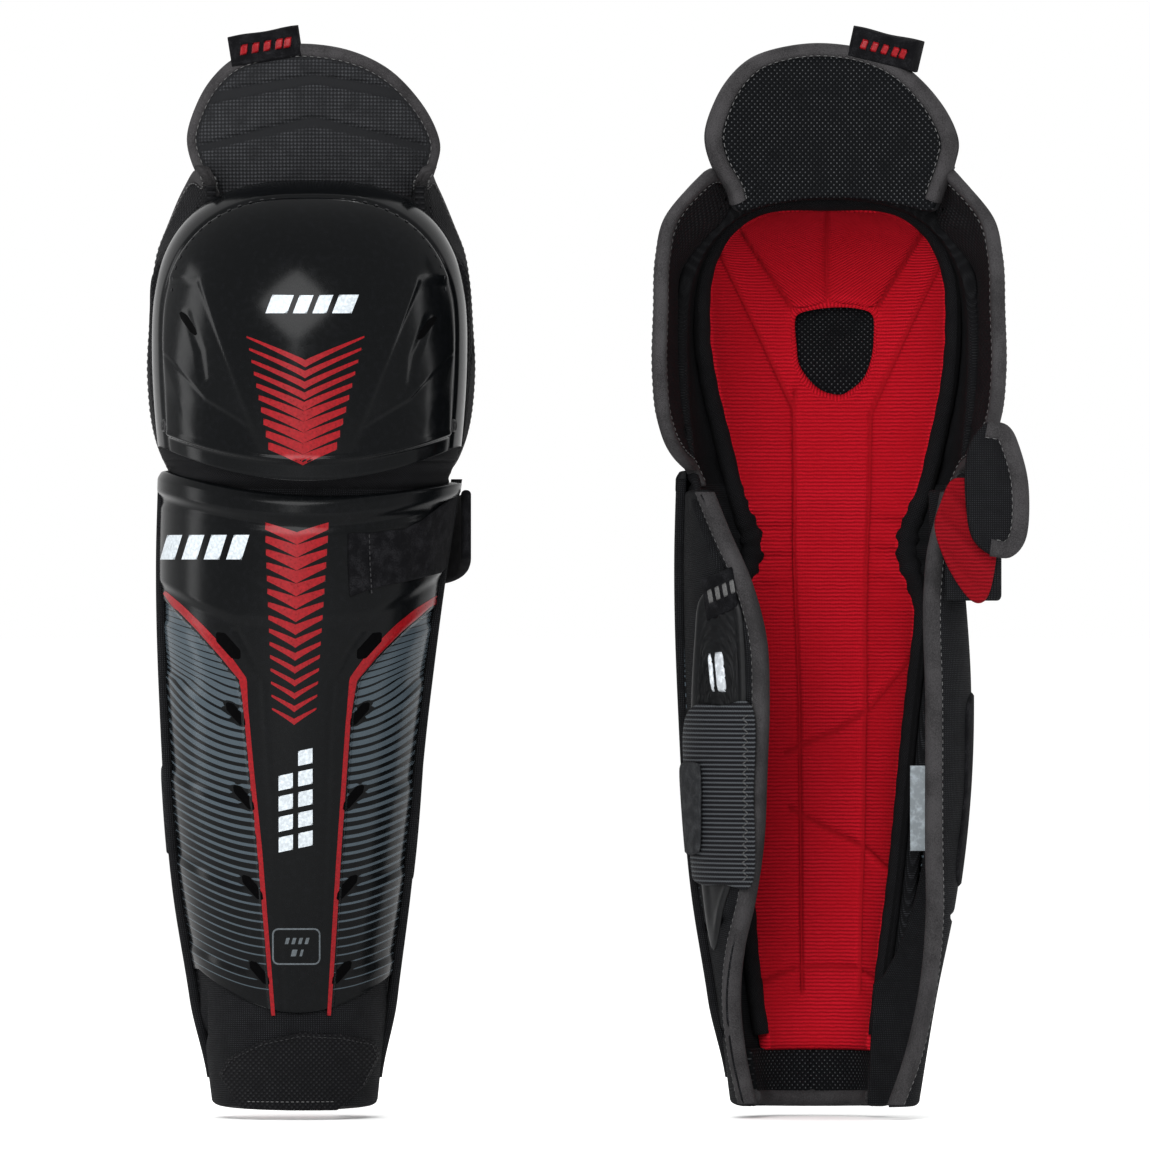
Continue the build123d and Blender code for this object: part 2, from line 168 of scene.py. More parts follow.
def medial_point(angle, z, inset):
    """Point on the medial calf wing's outer face moved inwards."""
    x = MEDIAL_CX(z) + (MEDIAL_A(z) - inset) * np.sin(angle)
    y = MEDIAL_CY(z) - (MEDIAL_B(z) - inset) * np.cos(angle)
    return np.stack([x, y, z + 0 * x], axis=-1)


def knee_radii(z, inset):
    """Half width and half depth of the knee cap's section at a height."""
    rx, ry, rz = (r - inset for r in KNEE_RADII)
    low = np.clip((z - KNEE_FOOT) / (KNEE_Z - KNEE_FOOT), 0, 1)
    foot_x, foot_y = (r - inset for r in KNEE_FOOT_RADII)
    dome = np.sqrt(np.clip(1 - ((z - KNEE_Z) / rz) ** 2, 0, 1))
    below = z < KNEE_Z
    bow = np.sin(low * math.pi / 2)
    return (np.where(below, foot_x + (rx - foot_x) * bow, rx * dome),
            np.where(below, foot_y + (ry - foot_y) * bow, ry * dome))


# ---------------------------------------------------------------- making pieces
def place(points, side):
    """Move points from the right guard's frame, in mm, to a guard's place, in metres."""
    world = np.array(points, float).reshape(-1, 3) * MM
    if side == "left":
        world[:, 1] *= -1
    world[:, 0] += GUARD_X[side]
    return world


def make_piece(name, side, points, faces, material, body, flat=None, cad=(), blend=None,
               crease=None):
    """Mesh piece of one guard, riding on one of its bodies, or left unattached in place when a blend is
    given.
    """
    world = place(points, side)
    turned = [tuple(reversed(f)) for f in faces] if side == "left" else faces
    mesh = bpy.data.meshes.new(f"{side}_{name}")
    mesh.from_pydata(world.tolist(), [], turned)
    mesh.polygons.foreach_set("use_smooth", [True] * len(mesh.polygons))
    if crease is not None:
        mesh.set_sharp_from_angle(angle=math.radians(crease))
    values = np.zeros((len(world), 3), np.float32)
    if flat is not None:
        values[:, : np.shape(flat)[1]] = flat
    attribute = mesh.attributes.new("flat", "FLOAT_VECTOR", "POINT")
    attribute.data.foreach_set("vector", values.ravel())
    mesh.materials.append(material)
    piece = bpy.data.objects.new(f"{side}_{name}", mesh)
    bpy.context.scene.collection.objects.link(piece)
    if cad:
        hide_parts(*[f"{side}_{node}" for node in cad])
    if blend is None:
        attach(piece, f"{side}_{body}")
    else:
        start, end = (place(p, side)[0] for p in blend[1:])
        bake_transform(piece)
    return piece


def closed_slab(outer, inner, flat):
    """Closed skin of a panel whose two faces meet along its edge. Returns points, faces, flat."""
    rows, columns = outer.shape[:2]
    count = rows * columns
    index = np.arange(count).reshape(rows, columns)
    back = index.copy()
    inside = (slice(1, -1), slice(1, -1))
    back[inside] = count + np.arange((rows - 2) * (columns - 2)).reshape(rows - 2, columns - 2)
    points = np.concatenate([outer.reshape(-1, 3), inner[inside].reshape(-1, 3)])
    flat3 = np.zeros((rows, columns, 3))
    flat3[..., : flat.shape[-1]] = flat
    both = np.concatenate([flat3.reshape(-1, 3), flat3[inside].reshape(-1, 3)])
    faces = []
    for j in range(rows - 1):
        for i in range(columns - 1):
            faces.append((index[j, i], index[j, i + 1], index[j + 1, i + 1], index[j + 1, i]))
            faces.append((back[j, i], back[j + 1, i], back[j + 1, i + 1], back[j, i + 1]))
    return points, [tuple(int(v) for v in f) for f in faces], both


def panel(s, t, surface, shape, outset, inset, width, height, rim, outer_relief=None, inner_relief=None):
    """Padded panel: surface(u, v, inset) over shape(s, t) -> (u, v), rounded at its edge."""
    ss, tt = np.meshgrid(s, t)
    u, v = shape(ss, tt)
    share = edge_round(ss, tt, width, height, rim)
    middle = (outset + inset) / 2
    half = (inset - outset) / 2
    flat_point = surface(u, v, middle)
    raise_by = 0 if outer_relief is None else outer_relief(flat_point[..., 0], flat_point[..., 2])
    sink_by = 0 if inner_relief is None else inner_relief(flat_point[..., 0], flat_point[..., 2])
    outer = surface(u, v, middle - half * share - raise_by * share)
    inner = surface(u, v, middle + half * share + sink_by * share)
    return outer, inner, flat_point


def arc_flat(points):
    """Distances in mm along the rows and columns of a grid of points."""
    across = np.linalg.norm(np.diff(points, axis=1), axis=-1)
    up = np.linalg.norm(np.diff(points, axis=0), axis=-1)
    u = np.concatenate([np.zeros((points.shape[0], 1)), np.cumsum(across, axis=1)], axis=1)
    u -= u[:, u.shape[1] // 2][:, None]
    v = np.concatenate([np.zeros((1, points.shape[1])), np.cumsum(up, axis=0)], axis=0)
    return np.stack([u, v], axis=-1)


def unit(vectors):
    """Vectors of length 1."""
    return vectors / np.maximum(np.linalg.norm(vectors, axis=-1, keepdims=True), 1e-9)


def resample(points, step):
    """Points evenly spaced along a path."""
    points = np.asarray(points, float)
    gaps = np.linalg.norm(np.diff(points, axis=0), axis=1)
    along = np.concatenate([[0], np.cumsum(gaps)])
    count = max(4, int(along[-1] / step) + 1)
    at = np.linspace(0, along[-1], count)
    return np.stack([np.interp(at, along, points[:, k]) for k in range(points.shape[1])], axis=-1)


def ring_faces(rows, ring, closed=False, first=0):
    """Faces of a tube made of rings of points; its ends are capped unless it is a closed loop."""
    faces = []
    for j in range(rows if closed else rows - 1):
        near, far = first + j * ring, first + ((j + 1) % rows) * ring
        for i in range(ring):
            k = (i + 1) % ring
            faces.append((near + i, near + k, far + k, far + i))
    if not closed:
        faces.append(tuple(reversed(range(first, first + ring))))
        faces.append(tuple(range(first + (rows - 1) * ring, first + rows * ring)))
    return faces


def tape(path, normal, across, half_width, half_height, ring, square=2.6, closed=False):
    """Folded binding tape round an edge: a flat rounded section swept along a path."""
    turn = np.linspace(0, 2 * math.pi, ring, endpoint=False)
    c, s = np.cos(turn), np.sin(turn)
    flat_c = np.sign(c) * np.abs(c) ** (2 / square)
    flat_s = np.sign(s) * np.abs(s) ** (2 / square)
    rings = (path[:, None, :] + across[:, None, :] * (half_width * flat_c)[None, :, None]
             + normal[:, None, :] * (half_height * flat_s)[None, :, None])
    along = np.concatenate([[0], np.cumsum(np.linalg.norm(np.diff(path, axis=0), axis=1))])
    flat = np.stack(np.meshgrid(turn * half_width, along), axis=-1)
    points = rings.reshape(-1, 3)
    return points, oriented(points, ring_faces(len(path), ring, closed)), flat.reshape(-1, 2)


def oriented(points, faces):
    """The same faces, all turned outwards if the closed mesh was inside out."""
    volume = 0.0
    centre = points.mean(axis=0)
    for f in faces:
        p = points[list(f)] - centre
        for k in range(1, len(f) - 1):
            volume += np.dot(p[0], np.cross(p[k], p[k + 1]))
    return faces if volume > 0 else [tuple(reversed(f)) for f in faces]


def evened(values, reach):
    """Rows of values averaged with their neighbours, up to reach rows away on either side."""
    window = np.ones(2 * reach + 1) / (2 * reach + 1)
    columns = [np.convolve(np.pad(column, reach, "edge"), window, "valid") for column in values.T]
    return np.stack(columns, axis=-1)


STITCH_HEIGHT = 0.5
STITCH_PROFILE = ((0.0, 0.35), (0.25, 0.9), (0.75, 0.9), (1.0, 0.35))
STITCH_TURNS = (0, 60, 120, 180, 270)
EDGE_STITCHES = (3.4, 2.1, 0.6)


def stitches(path, normal, pitch, length, width):
    """Raised thread dashes along a path, each a small pointed hump."""
    path = np.asarray(path, float)
    gaps = np.linalg.norm(np.diff(path, axis=0), axis=1)
    along = np.concatenate([[0], np.cumsum(gaps)])
    points, faces = [], []

    def at(d):
        p = np.array([np.interp(d, along, path[:, k]) for k in range(3)])
        n = np.array([np.interp(d, along, normal[:, k]) for k in range(3)])
        return p, n / np.linalg.norm(n)

    for k in range(int((along[-1] - length) / pitch) + 1):
        start = k * pitch + 0.3
        first = len(points)
        for share, size in STITCH_PROFILE:
            p, n = at(start + share * length)
            q, _ = at(start + share * length + 0.2)
            forward = unit(q - p)
            side = unit(np.cross(forward, n))
            for a in STITCH_TURNS:
                c, s = math.cos(math.radians(a)), math.sin(math.radians(a))
                points.append(p + side * c * width / 2 * size + n * s * STITCH_HEIGHT * size)
        faces += ring_faces(len(STITCH_PROFILE), len(STITCH_TURNS), first=first)
    points = np.array(points)
    return points, oriented(points, faces), None


def joined(parts):
    """One set of points and faces from several."""
    points, faces, flats, base = [], [], [], 0
    for p, f, flat in parts:
        points.append(p)
        faces += [tuple(i + base for i in face) for face in f]
        full = np.zeros((len(p), 3))
        if flat is not None:
            full[:, : flat.shape[1]] = flat
        flats.append(full)
        base += len(p)
    return np.concatenate(points), faces, np.concatenate(flats)


# ---------------------------------------------------------------- materials
class Surface:
    """A node material being built, with short calls for its nodes."""

    def __init__(self, name, roughness, **constants):
        self.material = bpy.data.materials.new(name)
        self.material.use_nodes = True
        self.tree = self.material.node_tree
        self.shader = self.tree.nodes["Principled BSDF"]
        self.shader.inputs["Roughness"].default_value = roughness
        for key, value in constants.items():
            self.shader.inputs[key.replace("_", " ")].default_value = value

    def node(self, kind, **settings):
        made = self.tree.nodes.new(kind)
        for key, value in settings.items():
            setattr(made, key, value)
        return made

    def link(self, socket, value):
        if isinstance(value, bpy.types.NodeSocket):
            self.tree.links.new(value, socket)
        else:
            socket.default_value = value

    def math(self, operation, a, b=0.0):
        made = self.node("ShaderNodeMath", operation=operation)
        self.link(made.inputs[0], a)
        self.link(made.inputs[1], b)
        return made.outputs[0]

    def flat(self):
        """The piece's own flat coordinates, in mm."""
        attribute = self.node("ShaderNodeAttribute", attribute_name="flat")
        split = self.node("ShaderNodeSeparateXYZ")
        self.tree.links.new(attribute.outputs["Vector"], split.inputs[0])
        return split.outputs

    def position(self):
        """Object coordinates, in mm."""
        coordinates = self.node("ShaderNodeTexCoord")
        split = self.node("ShaderNodeVectorMath", operation="SCALE")
        self.tree.links.new(coordinates.outputs["Object"], split.inputs[0])
        split.inputs["Scale"].default_value = 1 / MM
        return split.outputs[0]

    def noise(self, scale, detail=3.0, vector=None):
        made = self.node("ShaderNodeTexNoise")
        self.link(made.inputs["Vector"], self.position() if vector is None else vector)
        made.inputs["Scale"].default_value = scale
        made.inputs["Detail"].default_value = detail
        return made.outputs["Fac"]

    def wave(self, coordinate, pitch):
        """Sine of a flat coordinate, -1 to 1, repeating every pitch mm."""
        return self.math("SINE", self.math("MULTIPLY", coordinate, 2 * math.pi / pitch))

    def between(self, value, low, high):
        """Smooth step of a value from 0 at low to 1 at high."""
        made = self.node("ShaderNodeMapRange", interpolation_type="SMOOTHSTEP")
        self.link(made.inputs["Value"], value)
        made.inputs["From Min"].default_value = low
        made.inputs["From Max"].default_value = high
        return made.outputs["Result"]

    def mix(self, share, first, second):
        made = self.node("ShaderNodeMix", data_type="RGBA")
        self.link(made.inputs["Factor"], share)
        self.link(made.inputs["A"], first)
        self.link(made.inputs["B"], second)
        return made.outputs["Result"]

    def colour(self, value):
        self.link(self.shader.inputs["Base Color"], value)

    def roughness(self, value):
        self.link(self.shader.inputs["Roughness"], value)

    def relief(self, height, distance_mm, strength=1.0):
        made = self.node("ShaderNodeBump")
        made.inputs["Strength"].default_value = strength
        made.inputs["Distance"].default_value = distance_mm * MM
        self.link(made.inputs["Height"], height)
        self.tree.links.new(made.outputs["Normal"], self.shader.inputs["Normal"])


BLACK = (0.0045, 0.005, 0.006, 1)
PLASTIC_BLACK = (0.003, 0.0035, 0.004, 1)
STRIPE_GREY = (0.056, 0.072, 0.084, 1)
PRINT_RED = (0.24, 0.0032, 0.008, 1)
RED_BRIGHT = (0.42, 0.008, 0.022, 1)
RED_DARK = (0.21, 0.002, 0.007, 1)
RED_WORN = (0.33, 0.004, 0.012, 1)
BINDING_GREY = (0.052, 0.05, 0.052, 1)
BINDING_DARK = (0.026, 0.025, 0.026, 1)
THREAD_GREY = (0.13, 0.13, 0.13, 1)
MESH_GREY = (0.085, 0.088, 0.092, 1)


def gloss_plastic(name, striped):
    """Glossy black moulding with faint scuffs; the shell also has its printed grey stripes."""
    s = Surface(name, 0.16, Specular_IOR_Level=0.14)
    scuff = s.noise(0.35, 5.0)
    fine = s.noise(2.2, 2.0)
    base = s.mix(s.between(scuff, 0.45, 0.8), PLASTIC_BLACK, BLACK)
    if striped:
        count, duty, _ = s.flat()
        part = s.math("FRACT", count)
        away = s.math("ABSOLUTE", s.math("SUBTRACT", part, 0.5))
        inside = s.math("SUBTRACT", s.math("MULTIPLY", duty, 0.5), away)
        share = s.between(inside, -0.03, 0.03)
        lit = s.math("MULTIPLY", share, s.between(duty, 0.0, 0.08))
        base = s.mix(lit, base, STRIPE_GREY)
        s.roughness(s.math("ADD", s.math("MULTIPLY", scuff, 0.12), 0.17))
    else:
        s.roughness(s.math("ADD", s.math("MULTIPLY", scuff, 0.14), 0.1))
    s.colour(base)
    s.relief(fine, 0.02, 0.25)
    return s.material


def print_paint(name, colour):
    """Screen-printed paint on the shell, slightly uneven."""
    s = Surface(name, 0.3, Specular_IOR_Level=0.25)
    worn = s.noise(0.8, 4.0)
    darker = tuple(c * 0.72 for c in colour[:3]) + (1,)
    s.colour(s.mix(s.between(worn, 0.35, 0.75), darker, colour))
    s.roughness(s.math("ADD", s.math("MULTIPLY", worn, 0.15), 0.22))
    return s.material


def knit_ribs(name, shade=1.0):
    """Red ribbed knit: raised cross ribs with finer stitches along each, painted lighter on the ribs and
    darker between them as painted shade; shade below 1 darkens the whole knit as painted shade.
    """
    s = Surface(name, 0.85, Specular_IOR_Level=0.12)
    across, along, sewn = s.flat()
    wander = s.noise(0.25, 2.0)
    moved = s.math("ADD", along, s.math("MULTIPLY", wander, 0.8))
    rib = s.wave(moved, 1.75)
    strand = s.wave(across, 0.8)
    height = s.math("ADD", s.math("MULTIPLY", rib, 0.5), s.math("MULTIPLY", strand, 0.16))
    # ribs' tops painted lighter and the valleys between them darker: painted shade following the rib height
    rib_shade = s.between(rib, -0.9, 0.5)
    cloud = s.noise(0.05, 3.0)
    # shade scales the reds down for a darker copy of the same knit: painted shade
    low, high, worn = [tuple(c * shade for c in red[:3]) + (1,) for red in (RED_DARK, RED_BRIGHT, RED_WORN)]
    knit = s.mix(s.math("ADD", s.math("MULTIPLY", rib_shade, 0.85), 0.15), low, high)
    shaded = s.mix(s.between(cloud, 0.3, 0.75), knit, worn)
    plain = s.mix(0.55, knit, shaded)
    s.colour(s.mix(s.math("MULTIPLY", sewn, 0.75), plain, RED_DARK))
    s.relief(s.math("MULTIPLY", height, s.math("SUBTRACT", 1.0, sewn)), 0.5, 0.75)
    return s.material


def weave(name, base, thread, pitch, depth, tone_low=0.2, tone_high=1.2, slant=False):
    """Cloth of crossing threads: dots of thread over a dark base."""
    s = Surface(name, 0.8, Specular_IOR_Level=0.12)
    u, v, smooth_part = s.flat()
    if slant:
        u, v = s.math("ADD", u, v), s.math("SUBTRACT", u, v)
    wobble = s.noise(0.5, 2.0)
    u2 = s.math("ADD", u, s.math("MULTIPLY", wobble, pitch * 0.25))
    cross = s.math("MULTIPLY", s.wave(u2, pitch), s.wave(v, pitch))
    cloud = s.noise(0.12, 4.0)
    share = s.math("MULTIPLY", s.between(cross, tone_low, tone_high), s.between(cloud, 0.1, 0.7))
    kept = s.math("SUBTRACT", 1.0, smooth_part)
    s.colour(s.mix(s.math("MULTIPLY", share, kept), base, thread))
    s.relief(s.math("MULTIPLY", cross, kept), depth, 0.9)
    return s.material


def folded_tape(name, light, dark):
    """Soft knit tape: fine ribs along its length and a light fuzz."""
    s = Surface(name, 0.78, Specular_IOR_Level=0.12)
    round_it, along, _ = s.flat()
    rib = s.wave(along, 0.9)
    line = s.wave(round_it, 1.3)
    fuzz = s.noise(1.6, 4.0)
    cloud = s.noise(0.06, 3.0)
    height = s.math("ADD", s.math("MULTIPLY", s.math("MULTIPLY", rib, line), 0.5), fuzz)
    s.colour(s.mix(s.between(s.math("ADD", s.math("MULTIPLY", fuzz, 0.5), s.math("MULTIPLY", cloud, 0.5)),
                             0.35, 0.62), dark, light))
    s.relief(height, 0.22, 0.8)
    return s.material


def loop_cloth(name, base, tip):
    """Hook and loop cloth: a dense fuzz of fine loops."""
    s = Surface(name, 0.92, Specular_IOR_Level=0.12)
    fuzz = s.noise(1.9, 6.0)
    patch = s.noise(0.2, 3.0)
    s.colour(s.mix(s.between(s.math("MULTIPLY", fuzz, patch), 0.18, 0.42), base, tip))
    s.relief(fuzz, 0.5, 0.9)
    return s.material


def ribbed_elastic(name):
    """Black elastic with raised grey ribs across it."""
    s = Surface(name, 0.7, Specular_IOR_Level=0.12)
    across, along, _ = s.flat()
    fine = s.wave(across, 1.1)
    shifted = s.math("ADD", along, s.math("MULTIPLY", fine, 0.12))
    rib = s.wave(shifted, 2.1)
    share = s.between(rib, 0.0, 0.6)
    s.colour(s.mix(share, (0.009, 0.009, 0.011, 1), (0.07, 0.076, 0.082, 1)))
    s.relief(s.math("ADD", rib, s.math("MULTIPLY", fine, 0.2)), 0.45, 0.8)
    return s.material


def matt_moulding(name, colour, shine=0.4):
    """Matt soft-touch moulding with a fine grain."""
    s = Surface(name, 0.5, Specular_IOR_Level=shine)
    grain = s.noise(3.0, 4.0)
    lighter = tuple(min(1.0, c * 1.7) for c in colour[:3]) + (1,)
    s.colour(s.mix(s.between(s.noise(0.4, 3.0), 0.4, 0.75), colour, lighter))
    s.roughness(s.math("ADD", s.math("MULTIPLY", grain, 0.2), 0.38))
    s.relief(grain, 0.06, 0.5)
    return s.material


def thread(name, colour):
    """Sewing thread."""
    s = Surface(name, 0.7, Specular_IOR_Level=0.12)
    twist = s.noise(2.5, 3.0)
    darker = tuple(c * 0.55 for c in colour[:3]) + (1,)
    s.colour(s.mix(s.between(twist, 0.35, 0.65), darker, colour))
    s.relief(twist, 0.1, 0.6)
    return s.material


M = {
    "shell": gloss_plastic("shell_plastic", True),
    "cap": gloss_plastic("cap_plastic", False),
    "red": print_paint("red_print", PRINT_RED),
    "white": print_paint("white_print", (0.5, 0.54, 0.57, 1)),
    "grey": print_paint("grey_print", (0.1, 0.115, 0.125, 1)),
    # near-black film for the shell's vents and the cap's strap slots: painted shade of the openings
    "opening_shade": matt_moulding("painted_opening_shade", (0.0008, 0.0008, 0.001, 1), 0.03),
    "knit": knit_ribs("red_knit"),
    # the upper strap lining's knit at half brightness: painted shade
    "strap_knit_painted_shade": knit_ribs("strap_knit_painted_shade", 0.5),
    "nylon": weave("black_nylon", (0.006, 0.006, 0.007, 1), (0.028, 0.029, 0.031, 1), 1.3, 0.2),
    "speckle": weave("speckled_nylon", (0.006, 0.0062, 0.0072, 1), (0.04, 0.042, 0.046, 1),
                     2.0, 0.25, 0.25, 1.1, True),
    "mesh": weave("black_mesh", (0.0035, 0.004, 0.005, 1), MESH_GREY, 2.9, 0.4, 0.45, 1.1),
    "binding": folded_tape("grey_binding", BINDING_GREY, BINDING_DARK),
    "webbing": loop_cloth("black_webbing", (0.004, 0.004, 0.005, 1), (0.016, 0.016, 0.018, 1)),
    "hook": loop_cloth("grey_hook_tab", (0.022, 0.023, 0.025, 1), (0.05, 0.052, 0.055, 1)),
    "elastic": ribbed_elastic("grey_elastic"),
    "shield": matt_moulding("shield_plastic", (0.005, 0.0053, 0.006, 1), 0.25),
    "light_bar": matt_moulding("light_bar", (0.36, 0.38, 0.4, 1)),
    "thread": thread("grey_thread", THREAD_GREY),
    "dark_thread": thread("dark_thread", (0.045, 0.045, 0.047, 1)),
    "care": matt_moulding("care_label", (0.12, 0.135, 0.145, 1)),
    "flap": weave("flap_nylon", (0.016, 0.0165, 0.018, 1), (0.052, 0.054, 0.058, 1),
                  3.4, 0.25, -0.2, 0.7, True),
    "embossed_black": weave("embossed_black", (0.006, 0.006, 0.007, 1), (0.022, 0.0225, 0.024, 1),
                            2.6, 0.4, 0.0, 0.9),
    "eyelet": matt_moulding("eyelet_black", (0.012, 0.012, 0.013, 1)),
}


# ---------------------------------------------------------------- repeated kinds of piece
def film(name, side, parts, material, body, crease=50, cad=()):
    """Small hard shapes, such as prints, joined into one piece."""
    points, faces, _ = joined(parts)
    make_piece(name, side, points, faces, M[material], body, cad=cad, crease=crease)


def sew(name, side, path, normal, sizes, thread_name, body, blend=None):
    """Row of raised stitches along a path; sizes are their pitch, length and width."""
    points, faces, _ = stitches(path, normal, *sizes)
    make_piece(name, side, points, faces, M[thread_name], body, blend=blend)


def lay(name, side, made, material, body, cad=(), blend=None):
    """Piece from its points, faces and flat coordinates, in one of the shared materials."""
    points, faces, flat = made
    return make_piece(name, side, points, faces, M[material], body, flat, cad, blend)


def bind(name, side, path, normal, across, sizes, body, cad=(), blend=None):
    """Folded binding along an edge; sizes are half width, half height and points round it."""
    lay(name, side, tape(path, normal, across, *sizes), "binding", body, cad, blend)


def cushion(name, side, sheet, material, body, cad=(), blend=None):
    """Padded piece from a panel's outer, inner and middle faces."""
    outer, inner, middle = sheet
    made = closed_slab(outer, inner, arc_flat(middle))
    lay(name, side, made, material, body, cad, blend)


def inward_steps(path2, centre):
    """Unit steps across a path in the plane, pointing to the centre's side."""
    tangent = unit(np.gradient(path2, axis=0))
    steps = np.stack([-tangent[:, 1], tangent[:, 0]], axis=-1)
    return steps * np.sign(np.sum(steps * (np.array(centre) - path2), axis=-1))[:, None]


def opened(outline, keep):
    """The kept part of a closed outline as one path that starts just after its gap."""
    path2 = np.array([p for p in outline if keep(p)])
    gap = int(np.argmax(np.linalg.norm(np.diff(path2, axis=0), axis=1)))
    if np.linalg.norm(path2[gap + 1] - path2[gap]) > 20:
        path2 = np.vstack([path2[gap + 1:], path2[: gap + 1]])
    return path2


# ---------------------------------------------------------------- shared lines of the shell
SPINE_LEFT = [(-69, 243), (-52, 226), (-41, 214), (-31.5, 202), (-27.5, 160), (-23.5, 122), (-17.4, 45)]
SPINE_RIGHT = [(60, 241), (42, 226), (30, 214), (20.5, 202), (18, 183), (13, 115), (8.5, 45)]
VENTS = ((218, 16, 6.2), (186, 14, 4.6), (147, 15, 4.6), (105, 15, 4.6), (65, 14, 4.6))
VENT_SLANT = math.radians(48)
step_z = line_curve([(-72, 248), (-50, 236), (-34, 229.5), (0, 228), (26, 231), (45, 241), (66, 255)])
spine_left_x = line_curve([(z, x) for x, z in reversed(SPINE_LEFT)])
spine_right_x = line_curve([(z, x) for x, z in reversed(SPINE_RIGHT)])
STRIPE_PITCH = 3.95
PANEL_BOTTOM = 56.0


def panel_distance(x, z):
    """Distance outside the centre strip's edge, on either side, in the front view."""
    return np.maximum(spine_left_x(z) - x, x - spine_right_x(z))


def border_half(z):
    """Half width of the red line along the centre strip's edge."""
    return 1.0 + 1.7 * ramp(z, 188, 214)


def curved_height(x, z):
    """Height where a side stripe through (x, z) meets the centre strip."""
    away = np.clip(panel_distance(x, z), 0, 60)
    rise = 14 + 18 * ramp(z, 150, 235)
    return z - rise * (away / 38) ** 1.7


def vent_gap(height):
    """Distance of a vent's middle from the centre strip's edge."""
    return 5.2 if height < 210 else -6.6


def vent_share(x, z, grow):
    """1 inside the slanted vent slots, 0 outside, smooth at their edges."""
    share = np.zeros(np.shape(x))
    for height, length, width in VENTS:
        for side, edge in ((-1, spine_left_x), (1, spine_right_x)):
            cx = edge(height) + side * vent_gap(height)
            dx, dz = x - cx, z - height
            along = dx * math.cos(VENT_SLANT) + side * dz * math.sin(VENT_SLANT)
            across = -side * dx * math.sin(VENT_SLANT) + dz * math.cos(VENT_SLANT)
            reach = np.maximum(np.abs(along) - (length - width) / 2, 0)
            edge_at = width / 2 + grow
            share = np.maximum(share, 1 - ramp(np.hypot(reach, across), edge_at - 0.9, edge_at + 0.5))
    return share


def shell_relief(x, z):
    """Height of the moulded shapes above the shell's plain face; the vents' dark fill is a separate film of
    painted shade.
    """
    away = panel_distance(x, z)
    above_step = ramp(z - step_z(x), -2.0, 3.0)
    in_panel = ramp(away - border_half(z), -0.2, 1.7) * (1 - above_step)
    waves = curved_height(x, z) / 40.0 + 0.35
    facet = waves - np.floor(waves)
    wave_height = 1.1 * facet * (1 - ramp(facet, 0.86, 1.0))
    fade = ramp(away, 3, 14) * ramp(z, 52, 66)
    relief = -1.7 * in_panel + in_panel * fade * wave_height
    relief += 1.3 * above_step
    centre = (spine_left_x(z) + spine_right_x(z)) / 2
    half = (spine_right_x(z) - spine_left_x(z)) / 2
    crown = 1 - np.clip(np.abs(x - centre) / np.maximum(half, 1), 0, 1) ** 2
    relief += 1.1 * crown * (1 - above_step)
    shoulder = bump(np.abs(x - centre), 0.62 * half, 2.2)
    relief -= 0.45 * shoulder * (1 - above_step) * (z < 226)
    top_line = shell_high(x) - 11.5
    relief += 1.7 * ramp(z, top_line - 1.5, top_line + 2.5) - 0.7 * bump(z, top_line - 3.0, 3.5)
    relief -= 1.6 * ramp(z, top_line + 7.5, top_line + 11.5)
    return relief


def shell_surface_point(x, z, lift):
    """Point just above the finished shell seen at (x, z) from the front."""
    return shin_point(shin_angle(x, z), z, -shell_relief(x, z) - lift)


def shell_low(x):
    """Bottom edge of the shell in the front view."""
    centre = -5.0
    return 46.0 + 14.0 * np.clip(np.abs(x - centre) / 50.0, 0, 1.2) ** 2


def shell_high(x):
    """Top edge of the shell in the front view."""
    return 288.0 + 12.0 * np.clip(np.abs(x) / 68.0, 0, 1.0) ** 2


def make_shell(side):
    """Shin shell with its centre strip, step and wavy side panels."""
    rows, columns = 250, 190
    s = edged(columns, 190.0, 1.2)
    t = edged(rows, 240.0, 1.2)

    def shape(ss, tt):
        angle = np.radians(-90.5 + 181 * ss)
        x = SHIN_CX(170.0) + 60 * np.sin(angle)
        low, high = shell_low(x), shell_high(x)
        return angle, low + (high - low) * tt

    outer, inner, plain = panel(s, t, shin_point, shape, 0.0, 2.4, 190, 240, 1.0, shell_relief)
    x, z = plain[..., 0], plain[..., 2]
    count = curved_height(x, z) / STRIPE_PITCH
    away = panel_distance(x, z)
    above = z - step_z(x)
    level = np.clip((z - 60) / 160, 0, 1)
    duty = 0.13 + 0.72 * level ** 1.15
    # stripes thinned towards the shell's outer sides: painted shade where the sides turn away from the light
    side_shade = 1 - 0.55 * ramp(away, 22, 40)
    duty = duty * side_shade
    duty = duty * (away > border_half(z)) * (above < -1) * (1 - vent_share(x, z, 0.8)) * (z > PANEL_BOTTOM)
    duty *= ramp(z - shell_low(x), 7, 9)
    flat = np.stack([count, duty, 0 * count], axis=-1)
    lay("shin_shell", side, closed_slab(outer, inner, flat), "shell", "shin", ["shin_shell"])


def decal(grid_x, grid_z, surface_point, lift=0.14):
    """Thin closed film that follows a surface over a grid of front-view points."""
    outer = surface_point(grid_x, grid_z, lift)
    inner = surface_point(grid_x, grid_z, -0.25)
    flat = np.stack([grid_x, grid_z], axis=-1)
    edge = np.zeros(grid_x.shape, bool)
    edge[0, :] = edge[-1, :] = edge[:, 0] = edge[:, -1] = True
    inner[edge] = outer[edge]
    return closed_slab(outer, inner, flat)


def ribbon(line, widths, surface_point, step=1.2, across=5, lift=0.14):
    """Printed line of changing width along a front-view path; also the film of painted shade in vents and
    slots.
    """
    path = resample(line, step)
    share = np.linspace(0, 1, len(path))
    width = np.interp(share, *zip(*widths))
    tangent = unit(np.gradient(path, axis=0))
    normal = np.stack([-tangent[:, 1], tangent[:, 0]], axis=-1)
    offsets = np.linspace(-0.5, 0.5, across)
    grid = path[:, None, :] + normal[:, None, :] * (width[:, None] * offsets[None, :])[..., None]
    return decal(grid[..., 0], grid[..., 1], surface_point, lift)


